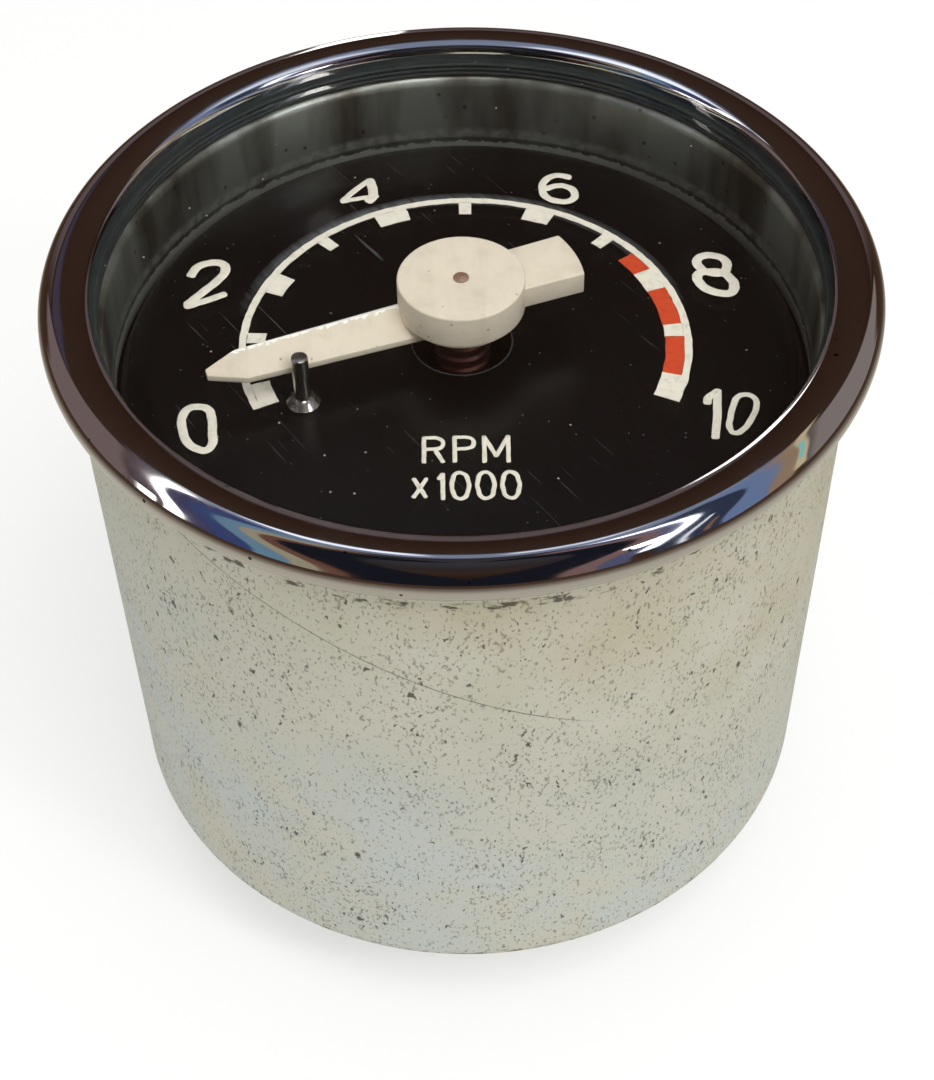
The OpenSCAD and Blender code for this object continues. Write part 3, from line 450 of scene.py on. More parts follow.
def cream_paint(name, colours, ridge=None):
    """Air dried paint on the pointer; where it is folded, a painted highlight whitens the paint along the
    ridge.
    """
    # Matt cream paint, soiled in its low places, with faint brush marks and small dark chips
    material, tree, place = surface(name)
    cloud = add(tree, "TexNoise", {"Scale": per_mm(3), "Detail": 5.0, "Roughness": 0.6}, {"Vector": place})
    soil = add(tree, "MapRange", {"From Min": 0.5, "From Max": 0.85, "To Max": 0.45}, {"Value": cloud})
    paint = add(tree, "Mix", {"data_type": "RGBA", "A": colours.cream, "B": colours.cream_dirt},
                {"Factor": soil})
    brushed = add(tree, "Mapping", {"Scale": (1, 0.12, 1)}, {"Vector": place})
    strokes = add(tree, "TexNoise", {"Scale": per_mm(0.5), "Detail": 3.0}, {"Vector": brushed})
    dull = add(tree, "MapRange", {"From Min": 0.5, "From Max": 0.8, "To Max": 0.14}, {"Value": strokes})
    paint = add(tree, "Mix", {"data_type": "RGBA", "B": colours.cream_dirt}, {"Factor": dull, "A": paint})
    # Painted highlight: the paint is whitened along the upper side of the blade's ridge
    if ridge:
        turned, offset = ridge
        own = add(tree, "Mapping", {"vector_type": "TEXTURE", "Rotation": (0, 0, turned)}, {"Vector": place})
        side = add(tree, "SeparateXYZ", {}, {"Vector": own}).outputs["Y"]
        wander = add(tree, "TexNoise", {"Scale": per_mm(0.6), "Detail": 3.0}, {"Vector": place})
        near = (offset + 0.05) * MM
        far = (offset + 0.4) * MM
        edge = add(tree, "MapRange", {"From Min": 0.35, "From Max": 0.65, "To Min": near, "To Max": far},
                   {"Value": wander})
        past = add(tree, "Math", {"operation": "SUBTRACT"}, {0: edge, 1: side})
        lightened = add(tree, "MapRange", {"From Min": 0.0, "From Max": 0.08 * MM}, {"Value": past})
        paint = add(tree, "Mix", {"data_type": "RGBA", "B": linear("#fffdf6")},
                    {"Factor": lightened, "A": paint})
    cells = add(tree, "TexVoronoi", {"Scale": per_mm(1.9)}, {"Vector": place})
    chips = add(tree, "MapRange", {"From Min": 0.1, "From Max": 0.06, "To Max": 0.6},
                {"Value": cells.outputs["Distance"]})
    chipped = add(tree, "Mix", {"data_type": "RGBA", "B": linear("#7d705a")}, {"Factor": chips, "A": paint})
    fine = add(tree, "TexNoise", {"Scale": per_mm(0.4), "Detail": 4.0}, {"Vector": place})
    grain = add(tree, "Bump", {"Strength": 0.35, "Distance": 0.03 * MM}, {"Height": fine})
    shade(tree, {"Roughness": 0.5}, {"Base Color": chipped, "Normal": grain})
    return material


def worked_metal(name, colour, stain, rough, spacing, stretch=(1, 1, 1), metallic=1.0):
    """A metal with marks of its working, the given millimetres apart, and a stain in patches."""
    material, tree, place = surface(name)
    drawn = add(tree, "Mapping", {"Scale": stretch}, {"Vector": place})
    marks = add(tree, "TexNoise", {"Scale": per_mm(spacing), "Detail": 4.0}, {"Vector": drawn})
    cloud = add(tree, "TexNoise", {"Scale": per_mm(4), "Detail": 3.0}, {"Vector": place})
    patch = add(tree, "MapRange", {"From Min": 0.45, "From Max": 0.75}, {"Value": cloud})
    body = add(tree, "Mix", {"data_type": "RGBA", "A": linear(colour), "B": linear(stain)},
               {"Factor": patch})
    gloss = add(tree, "MapRange", {"To Min": rough * 0.8, "To Max": rough * 1.25}, {"Value": marks})
    grain = add(tree, "Bump", {"Strength": 0.2, "Distance": 0.02 * MM}, {"Height": marks})
    shade(tree, {"Metallic": metallic}, {"Base Color": body, "Roughness": gloss, "Normal": grain})
    return material


def plain_moulding(name, colour, stain, rough, spacing):
    """Something that isn't metal, with the grain of its making."""
    return worked_metal(name, colour, stain, rough, spacing, metallic=0.0)


# Turning marks run round a piece, and the blade's fold lies to one side, as a share of its half width
TURNED = (0.02, 0.02, 1)
BLADE_FOLD_SHARE = -0.6


def blade_ridge():
    """Direction of the blade, and how far to its side its ridge lies, in millimetres."""
    sizes = bpy.context.scene.tacho_sizes
    return sizes.rest_angle, BLADE_FOLD_SHARE * sizes.blade_root / MM / 2


def make_materials():
    """Every finish, by the name that it has in the record."""
    colours = bpy.context.scene.tacho_colours
    MATERIALS.update({
        "zinc_case": zinc_plate(colours),
        "chrome": chrome_plate(colours),
        "glass": sheet_glass(),
        "gasket_rubber": nitrile_rubber(colours),
        "plated_ring": drawn_plate(colours),
        "dial_enamel": gloss_enamel(colours),
        "cream_paint": cream_paint("cream_paint", colours),
        "blade_paint": cream_paint("cream_paint_with_painted_highlight", colours, blade_ridge()),
        # Steel of the pointer's spindle, brown at its end in the hub
        "spindle_steel": worked_metal("browned_steel", "#8a6450", "#c9b9a0", 0.5, 0.3, metallic=0.2),
        # White sign paint, yellowed a little and thin at the ends of its strokes
        "scale_white": brushed_paint("white_sign_paint", colours.scale_white, linear("#b5b19c")),
        # Red-orange sign paint, darker where it lies thin over the black
        "scale_red": brushed_paint("red_sign_paint", colours.scale_red, linear("#8e2c14")),
        # Turned brass keeps fine rings and goes brown in patches
        "brass": worked_metal("turned_brass", "#b8924c", "#7a5b2c", 0.28, 0.3, TURNED),
        # Ground and polished steel, nearly white where it is clean
        "bright_steel": worked_metal("polished_steel", "#c4c0b8", "#8d867b", 0.22, 0.25, TURNED),
        # A die casting is dull grey, with the orange skin of its mould
        "cast_alloy": worked_metal("die_cast_zinc", "#a3a4a2", "#7c7d7a", 0.5, 0.8),
        # Oiled jointing sheet is brown and fibrous
        "gasket_paper": plain_moulding("jointing_sheet", "#5a4a38", "#3a2f24", 0.75, 0.5),
        # Zinc plated screws and nuts are bluish and half matt
        "zinc_hardware": worked_metal("zinc_plated_steel", "#b4b6b5", "#85837b", 0.34, 0.4),
        # Yellow passivation shimmers from straw to olive
        "passivated_union": worked_metal("passivated_steel", "#b8ac7c", "#8d8658", 0.32, 0.5),
        # Vulcanised fibre is matt, hard and brick red
        "red_fibre": plain_moulding("vulcanised_fibre", "#73291f", "#521c15", 0.6, 0.4),
        # Sintered bronze is porous and dark with oil
        "sintered_bronze": worked_metal("sintered_bronze", "#96693a", "#5a3c20", 0.42, 0.2),
        # Nickel plated soft iron, satin grey
        "soft_steel": worked_metal("nickel_plated_iron", "#8a8a88", "#646460", 0.34, 0.5),
        # Rolled bronze strip, bright along its length
        "spring_bronze": worked_metal("phosphor_bronze", "#a06a3c", "#6d4424", 0.25, 0.3),
        # Synthetic ruby, deep red and glossy
        "jewel": plain_moulding("synthetic_ruby", "#8d1c34", "#6a1022", 0.06, 0.6),
        # Cast magnet alloy, ground grey with a coarse grain
        "magnet_alloy": worked_metal("magnet_alloy", "#66676a", "#47484a", 0.45, 0.7),
        # Spun aluminium, pale with fine rings
        "cup_aluminium": worked_metal("spun_aluminium", "#c4c5c6", "#9fa0a0", 0.3, 0.3, TURNED),
        # Copper plated bush, brown, and darkened all over as painted shade for the shadow in the dial's hole
        # under the hub
        "copper_bush": worked_metal("shade_darkened_copper", "#4a2219", "#22100c", 0.5, 0.35, TURNED, 0.7),
    })


def piece(name, bm, finish, body="root", nodes=(), sharp=32):
    """Turns a bmesh in millimetres into a finished piece that rides on a body."""
    bmesh.ops.remove_doubles(bm, verts=bm.verts, dist=MERGE)
    bmesh.ops.recalc_face_normals(bm, faces=bm.faces)
    bmesh.ops.scale(bm, vec=(MM, MM, MM), verts=bm.verts)
    for face in bm.faces:
        face.smooth = True
    mesh = bpy.data.meshes.new(name)
    bm.to_mesh(mesh)
    bm.free()
    mesh.set_sharp_from_angle(angle=math.radians(sharp))
    mesh.materials.append(MATERIALS[finish])
    made = bpy.data.objects.new(name, mesh)
    bpy.context.scene.collection.objects.link(made)
    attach(made, body)
    if nodes:
        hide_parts(*nodes)


def arc(centre, radius, first, last, steps=12):
    """Points of a section along an arc, from one angle to another in degrees."""
    turns = [math.radians(first + (last - first) * i / steps) for i in range(steps + 1)]
    return [(centre[0] + radius * math.cos(a), centre[1] + radius * math.sin(a)) for a in turns]


def spin(bm, section, closed=False, centre=(0, 0), steps=ROUND_STEPS):
    """Spins a section of radius and height round an upright axis and returns its vertices."""
    before = set(bm.verts)
    rim = [bm.verts.new((centre[0] + r, centre[1], z)) for r, z in section]
    edges = [bm.edges.new(pair) for pair in zip(rim, rim[1:])]
    if closed:
        edges.append(bm.edges.new((rim[-1], rim[0])))
    bmesh.ops.spin(
        bm, geom=rim + edges, cent=(*centre, 0), axis=(0, 0, 1), dvec=(0, 0, 0),
        angle=math.tau, steps=steps, use_merge=True, use_normal_flip=False, use_duplicate=False)
    return [v for v in bm.verts if v not in before]


def cut(bm, geom, point, normal):
    """Cuts away what lies past a plane and closes the cut."""
    made = bmesh.ops.bisect_plane(
        bm, geom=geom, dist=1e-5, plane_co=point, plane_no=normal, clear_outer=True)
    edges = [e for e in made["geom_cut"] if isinstance(e, bmesh.types.BMEdge)]
    bmesh.ops.edgenet_fill(bm, edges=edges)


def all_geom(bm):
    """Everything in a bmesh."""
    return bm.verts[:] + bm.edges[:] + bm.faces[:]


def round_edges(bm, edges, radius, segments):
    """Rounds edges off."""
    bmesh.ops.bevel(
        bm, geom=edges, offset=radius, segments=segments, profile=0.5, affect="EDGES", material=-1,
        clamp_overlap=True)


def sharp_edges(edges, degrees):
    """Those of some edges whose faces meet at more than an angle."""
    limit = math.radians(degrees)
    return [e for e in edges if len(e.link_faces) == 2 and e.calc_face_angle(0) > limit]


class BuildOperator(bpy.types.Operator):
    """What the operators share."""

    bl_options = {"REGISTER"}

    @classmethod
    def poll(cls, context):
        return hasattr(context.scene, "tacho_sizes")


class TACHO_OT_case(BuildOperator):
    """Makes the drawn case, with its holes, its rounded corner and the rim under the bezel"""

    bl_idname = "tacho.case"
    bl_label = "Case"

    def execute(self, context):
        sizes = context.scene.tacho_sizes
        low, high = span("case")
        wall_r = mounts["case_barrel"]["r_mm"]
        sheet = sizes.case_sheet / MM
        corner = sizes.case_corner / MM
        bore = wall_r - sheet
        inner = corner - sheet
        flat_r = wall_r - corner
        bm = bmesh.new()
        foot_z = low.z + corner
        neck_z = foot_z + mounts["case_barrel"]["length_mm"]
        taper = 0.2
        rows = 60
        # The wall's waves: how often and how high, how far out they may push it, and how they end
        waves = ((0.06, 0.06), (0.3, 0.015))
        most = 0.02
        fade = 4
        wall = [(wall_r, foot_z + (neck_z - foot_z) * i / rows) for i in range(1, rows + 1)]
        shell = spin(bm, (
            [(flat_r, low.z)]
            + arc((flat_r, foot_z), corner, -90, 0)[1:] + wall
            + [(wall_r - taper, high.z - sheet), (high.x, high.z - sheet), (high.x, high.z), (bore, high.z)]
            + arc((flat_r, low.z + sheet + inner), inner, 0, -90, 6)))
        for vert in shell:
            out = Vector((vert.co.x, vert.co.y, 0))
            from_ends = min(vert.co.z - foot_z, neck_z - vert.co.z)
            if abs(out.length - wall_r) < MERGE and from_ends > 0:
                push = sum(noise.noise(vert.co * often) * deep for often, deep in waves)
                vert.co += out.normalized() * min(push, most) * min(1, from_ends / fade)
        self.back(bm, flat_r, low.z, sheet)
        piece("case_shell", bm, "zinc_case", nodes=["case"])
        return {"FINISHED"}

    def back(self, bm, flat_r, z, sheet):
        """The flat back, with holes for the union, the studs and the frame screws."""
        union_r = 7.1
        stud_r = mounts["mounting_studs"]["stud_r_mm"] + 0.6
        stud_x = mounts["mounting_studs"]["spacing_x_mm"] / 2
        screw_r = 1.6
        screws_at = 27
        circles = [((0, 0), flat_r, ROUND_STEPS), ((0, 0), union_r, 64)]
        circles += [((side * stud_x, 0), stud_r, 48) for side in (-1, 1)]
        for degrees in (90, 210, 330):
            turn = math.radians(degrees)
            circles.append(((screws_at * math.cos(turn), screws_at * math.sin(turn)), screw_r, 32))
        for level in (z, z + sheet):
            edges = []
            for centre, radius, count in circles:
                ring = bmesh.ops.create_circle(
                    bm, cap_ends=False, segments=count, radius=radius,
                    matrix=Matrix.Translation((*centre, level)))
                edges += list({e for v in ring["verts"] for e in v.link_edges})
            bmesh.ops.triangle_fill(bm, use_beauty=True, use_dissolve=False, edges=edges)
        for centre, radius, count in circles[1:]:
            spin(bm, [(radius, z), (radius, z + sheet)], centre=centre, steps=count)


class TACHO_OT_bezel(BuildOperator):
    """Makes the chromed bezel, rolled under the case's rim and over the glass"""

    bl_idname = "tacho.bezel"
    bl_label = "Bezel"

    def execute(self, context):
        sizes = context.scene.tacho_sizes
        low, high = span("bezel")
        sheet = sizes.bezel_sheet / MM
        crown = sizes.bezel_crown / MM
        roll = (high.z - low.z) / 2
        centre = (high.x - roll, low.z + roll)
        lip_r = span("glass")[1].x - sizes.bezel_lip / MM
        lip_w = centre[0] - lip_r
        flank = (lip_w ** 2 + crown ** 2) / (2 * crown)
        flank_centre = (centre[0], centre[1] + roll - sheet - flank)
        outside = flank + sheet
        outer_end = math.degrees(math.acos(-lip_w / outside))
        inner_end = math.degrees(math.acos(-lip_w / flank))
        edge = 0.22
        edge_z = flank_centre[1] + outside * math.sin(math.radians(outer_end)) - edge
        section = (
            arc(centre, roll, -90, 90, 48)
            + arc(flank_centre, outside, 90, outer_end - 2, 12)[1:]
            + arc((lip_r + edge, edge_z), edge, 110, 180, 5)
            + arc(flank_centre, flank, inner_end, 90, 10)
            + arc(centre, roll - sheet, 90, -90, 24)[1:])
        bm = bmesh.new()
        spin(bm, section, closed=True)
        piece("bezel_rolled", bm, "chrome", nodes=["bezel"])
        return {"FINISHED"}


class TACHO_OT_glass(BuildOperator):
    """Makes the glass and the rubber gasket under it"""

    bl_idname = "tacho.glass"
    bl_label = "Glass and gasket"

    def execute(self, context):
        sizes = context.scene.tacho_sizes
        low, high = span("glass")
        edge = sizes.glass_edge / MM
        bm = bmesh.new()
        spin(bm, [
            (0, low.z), (high.x - edge, low.z), (high.x, low.z + edge),
            (high.x, high.z - edge), (high.x - edge, high.z), (0, high.z)])
        piece("dial_glass", bm, "glass", nodes=["glass"], sharp=20)
        low, high = span("glass_gasket")
        inner = high.x - sizes.gasket_width / MM
        third = (high.z - low.z) / 3
        off_glass = 0.02
        lip = third * 0.46
        inside = []
        for step in range(3):
            inside += arc((inner + lip, low.z + third * (step + 0.5)), lip, 270, 90, 8)
        bm = bmesh.new()
        spin(bm, [(high.x, low.z)] + inside + [(high.x, high.z - off_glass)], closed=True)
        piece("glass_seal", bm, "gasket_rubber", nodes=["glass_gasket"])
        return {"FINISHED"}


class TACHO_OT_spacer_ring(BuildOperator):
    """Makes the drawn ring between the dial and the gasket"""

    bl_idname = "tacho.spacer_ring"
    bl_label = "Spacer ring"

    def execute(self, context):
        sizes = context.scene.tacho_sizes
        low, high = span("spacer_ring")
        bend = sizes.ring_bend / MM
        sheet = sizes.ring_sheet / MM
        inner = high.x - sizes.ring_reach / MM
        foot = (inner + bend, low.z + bend)
        head = (inner + bend, high.z - bend)
        wall = [(inner, foot[1] + (head[1] - foot[1]) * i / 12) for i in range(1, 12)]
        section = (
            [(high.x, low.z + sheet), (high.x, low.z)]
            + arc(foot, bend, 270, 180, 10) + wall + arc(head, bend, 180, 90, 10)
            + [(high.x, high.z), (high.x, high.z - sheet)]
            + arc(head, bend - sheet, 90, 180, 6) + arc(foot, bend - sheet, 180, 270, 6))
        bm = bmesh.new()
        spin(bm, section, closed=True)
        piece("spacer_ring_drawn", bm, "plated_ring", nodes=["spacer_ring"])
        return {"FINISHED"}


# The painted blocks of the scale, by their first and last direction in degrees. The arc was painted
# a little off the dial's centre
WHITE_BLOCKS = [
    (195.5, 204.5), (175.5, 179.5), (150.9, 158.9), (130.8, 134.4), (106.0, 115.6),
    (87.4, 91.0), (63.6, 71.8), (43.8, 47.7), (20.0, 28.5), (0.0, 5.0), (-24.5, -15.0),
]
RED_BLOCKS = [(28.5, 36.5), (5.0, 20.0), (-15.0, 0.0)]
ARC_CENTRE = (0.3, 0)

# Centre lines of the painted numerals: half width, closed or not, then the points
NUMERALS = [
    (0.46, True, [(-28.4, -10.6), (-27.9, -9.5), (-27.0, -9.2), (-25.9, -9.6), (-25.4, -11), (-25.2, -13),
                  (-25.1, -14.5), (-25.6, -15.4), (-26.4, -15.3), (-27.5, -14.4), (-28.2, -12.6)]),
    (0.52, False, [(-29.3, 11.2), (-28.7, 12.6), (-27.4, 13.3), (-26.0, 13.1), (-25.6, 11.9),
                   (-26.3, 10.4), (-27.7, 8.6), (-29.3, 6.5)]),
    (0.46, False, [(-29.4, 6.2), (-27.3, 7.1), (-25.4, 8.1)]),
    (0.38, False, [(-10.2, 27.4), (-11.8, 25.6), (-13.2, 23.6)]),
    (0.35, False, [(-13.3, 23.6), (-11.2, 24.1), (-9.3, 24.5)]),
    (0.55, False, [(-10.2, 27.4), (-9.8, 25.5), (-9.9, 24.0), (-10.3, 23.5)]),
    (0.45, False, [(12.6, 27.2), (11.0, 27.6), (9.7, 26.6), (9.4, 25.0), (9.8, 23.7), (11.2, 22.9),
                   (12.6, 23.1), (13.0, 24.4), (12.2, 25.5), (11.0, 25.7), (9.8, 25.2)]),
    (0.52, True, [(25.7, 12.2), (26.6, 13.0), (27.8, 12.9), (28.8, 12.0), (28.8, 10.9), (28.2, 10.1),
                  (27.0, 10.1), (26.0, 10.9)]),
    (0.55, True, [(25.5, 9.6), (25.6, 8.6), (26.4, 7.4), (27.6, 6.8), (28.8, 6.8), (29.3, 7.8),
                  (29.0, 9.2), (28.2, 10.1), (26.8, 10.3), (25.8, 10.1)]),
    (0.42, False, [(25.9, -8.2), (25.7, -10), (25.5, -12), (25.0, -15.0)]),
    (0.42, False, [(25.8, -8.4), (24.8, -9.4), (24.7, -10.1)]),
    (0.32, True, [(28.5, -8.9), (29.5, -9.4), (29.6, -10.6), (29.0, -12.2), (28.0, -13.8), (27.0, -14.4),
                  (26.6, -13.8), (26.8, -12.2), (27.3, -10.4), (27.8, -9.3)]),
]

# The lettering: straight strokes, then curved ones
STRAIGHTS = [
    [(-4.0, -14.2), (-4.0, -17.7)], [(-2.9, -15.9), (-2.1, -17.7)],
    [(-0.95, -14.2), (-0.95, -17.7)],
    [(2.0, -17.8), (2.0, -14.2)], [(2.0, -14.2), (3.15, -17.0)], [(3.15, -17.0), (4.4, -14.2)],
    [(4.4, -14.2), (4.35, -17.8)],
    [(-5.0, -19.9), (-3.8, -22.4)], [(-3.75, -19.9), (-5.0, -22.4)],
    [(-2.6, -20.0), (-2.15, -19.3)], [(-2.15, -19.3), (-2.15, -22.7)],
    [(-4.0, -14.25), (-2.9, -14.27)], [(-4.0, -15.87), (-2.9, -15.87)],
    [(-0.95, -14.25), (0.1, -14.25)], [(-0.95, -15.9), (0.1, -15.87)],
]
BOWLS = [
    (False, [(-2.9, -14.27), (-2.25, -14.6), (-2.1, -15.1), (-2.3, -15.65), (-2.9, -15.87)]),
    (False, [(0.1, -14.25), (0.75, -14.5), (0.95, -15.05), (0.75, -15.65), (0.1, -15.87)]),
]
ZERO_CENTRES = [-0.45, 2.05, 4.5]
ZERO = [(-0.75, -20.2), (-0.35, -19.25), (0.25, -19.25), (0.75, -20.2), (0.75, -21.6), (0.3, -22.6),
        (-0.3, -22.6), (-0.75, -21.6)]


class TACHO_OT_dial(BuildOperator):
    """Paints the scale, the numbers and the lettering on the dial"""

    bl_idname = "tacho.dial"
    bl_label = "Dial print"

    def execute(self, context):
        sizes = context.scene.tacho_sizes
        self.top = span("dial")[1].z
        self.height = sizes.print_height / MM
        outer = sizes.arc_outer / MM
        inner = sizes.arc_inner / MM
        block = sizes.block_inner / MM
        bm = bmesh.new()
        self.sector(bm, inner, outer, WHITE_BLOCKS[-1][0], WHITE_BLOCKS[0][1])
        for first, last in WHITE_BLOCKS:
            self.sector(bm, block, inner, first, last)
        piece("scale_white", bm, "scale_white")
        bm = bmesh.new()
        for first, last in RED_BLOCKS:
            self.sector(bm, block, inner, first, last)
        piece("scale_red", bm, "scale_red")
        self.strokes("dial_numerals", NUMERALS)
        width = sizes.letter_stroke / MM / 2
        letters = [(width, False, line) for line in STRAIGHTS]
        letters += [(width, closed, line) for closed, line in BOWLS]
        letters += [(width, True, [(centre + x, y) for x, y in ZERO]) for centre in ZERO_CENTRES]
        self.strokes("dial_lettering", letters)
        return {"FINISHED"}

    def sector(self, bm, inner, outer, first, last):
        """A painted patch between two radii and two angles, with a wavering edge."""
        start = math.radians(first)
        rows = 3
        sunk = 0.05
        steps_per_degree = 1.5
        waver = 0.1
        often = 0.9
        apart = Vector((9, 9, 9))
        section = [(inner + (outer - inner) * i / rows, self.top + self.height) for i in range(rows + 1)]
        section = [(inner, self.top - sunk)] + section + [(outer, self.top - sunk)]
        turned = [(r * math.cos(start), r * math.sin(start), z) for r, z in section]
        before = set(bm.verts)
        face = bm.faces.new([bm.verts.new(p) for p in turned])
        steps = max(6, int((last - first) * steps_per_degree))
        bmesh.ops.spin(
            bm, geom=[face, *face.edges, *face.verts], cent=(0, 0, 0), axis=(0, 0, 1), dvec=(0, 0, 0),
            angle=math.radians(last - first), steps=steps, use_merge=False, use_normal_flip=False,
            use_duplicate=False)
        for vert in (v for v in bm.verts if v not in before):
            near = Vector((vert.co.x, vert.co.y, first * 0.1)) * often
            vert.co.x += ARC_CENTRE[0] + noise.noise(near) * waver
            vert.co.y += ARC_CENTRE[1] + noise.noise(near + apart) * waver

    def strokes(self, name, lines):
        """Brush strokes along centre lines, made as thin tubes and pressed flat on the dial."""
        curve = bpy.data.curves.new(name, "CURVE")
        curve.dimensions = "3D"
        curve.bevel_depth = 1
        curve.bevel_resolution = 3
        curve.use_fill_caps = True
        pointed = 0.55
        overshoot = 0.45
        swell = 1.3
        waver = 0.06
        often = 1.6
        apart = Vector((5, 5, 5))
        for half, closed, points in lines:
            spline = curve.splines.new("BEZIER")
            path = list(points)
            radii = [half] * len(path)
            if not closed:
                tips = [Vector(end) + (Vector(end) - Vector(beside)).normalized() * half * overshoot
                        for end, beside in ((path[0], path[1]), (path[-1], path[-2]))]
                path = [tuple(tips[0])] + path + [tuple(tips[1])]
                radii = [half * pointed] + radii + [half * pointed]
            spline.bezier_points.add(len(path) - 1)
            for point, (x, y), radius in zip(spline.bezier_points, path, radii):
                point.co = (x, y, 0)
                point.radius = radius
                point.handle_left_type = "AUTO"
                point.handle_right_type = "AUTO"
            spline.use_cyclic_u = closed
            spline.resolution_u = 6
        holder = bpy.data.objects.new(name + "_curve", curve)
        bpy.context.scene.collection.objects.link(holder)
        bpy.context.view_layer.update()
        mesh = bpy.data.meshes.new_from_object(holder)
        bpy.data.objects.remove(holder)
        bm = bmesh.new()
        bm.from_mesh(mesh)
        bpy.data.meshes.remove(mesh)
        bmesh.ops.remove_doubles(bm, verts=bm.verts, dist=MERGE)
        widest = max(half for half, closed, points in lines)
        for vert in bm.verts:
            spot = Vector((vert.co.x, vert.co.y, 0)) * often
            vert.co.x += noise.noise(spot) * waver
            vert.co.y += noise.noise(spot + apart) * waver
            vert.co.z = self.top + vert.co.z / widest * self.height * swell
        piece(name, bm, "scale_white", sharp=60)


class TACHO_OT_stop_pin(BuildOperator):
    """Turns the stop pin, with its coned flange and rounded top"""

    bl_idname = "tacho.stop_pin"
    bl_label = "Stop pin"

    def execute(self, context):
        low, high = span("stop_pin")
        centre = ((low.x + high.x) / 2, (low.y + high.y) / 2)
        flange = (high.x - low.x) / 2
        radius = context.scene.tacho_sizes.pin_radius / MM
        dial = span("dial")[1].z
        flange_t = 0.9
        round_top = 0.22
        rivet_r = radius + 0.4
        rivet_t = 0.6
        section = (
            [(0, low.z), (rivet_r, low.z), (rivet_r, low.z + rivet_t), (radius, low.z + rivet_t),
             (radius, dial), (flange - 0.08, dial), (flange, dial + 0.08), (flange, dial + 0.26),
             (flange - 0.12, dial + 0.38), (radius + 0.35, dial + flange_t - 0.06),
             (radius + 0.12, dial + flange_t), (radius, dial + flange_t + 0.1)]
            + arc((radius - round_top, high.z - round_top), round_top, 0, 90, 5)
            + [(0, high.z)])
        bm = bmesh.new()
        spin(bm, section, centre=centre, steps=64)
        piece("stop_pin_turned", bm, "bright_steel", nodes=["stop_pin"])
        return {"FINISHED"}


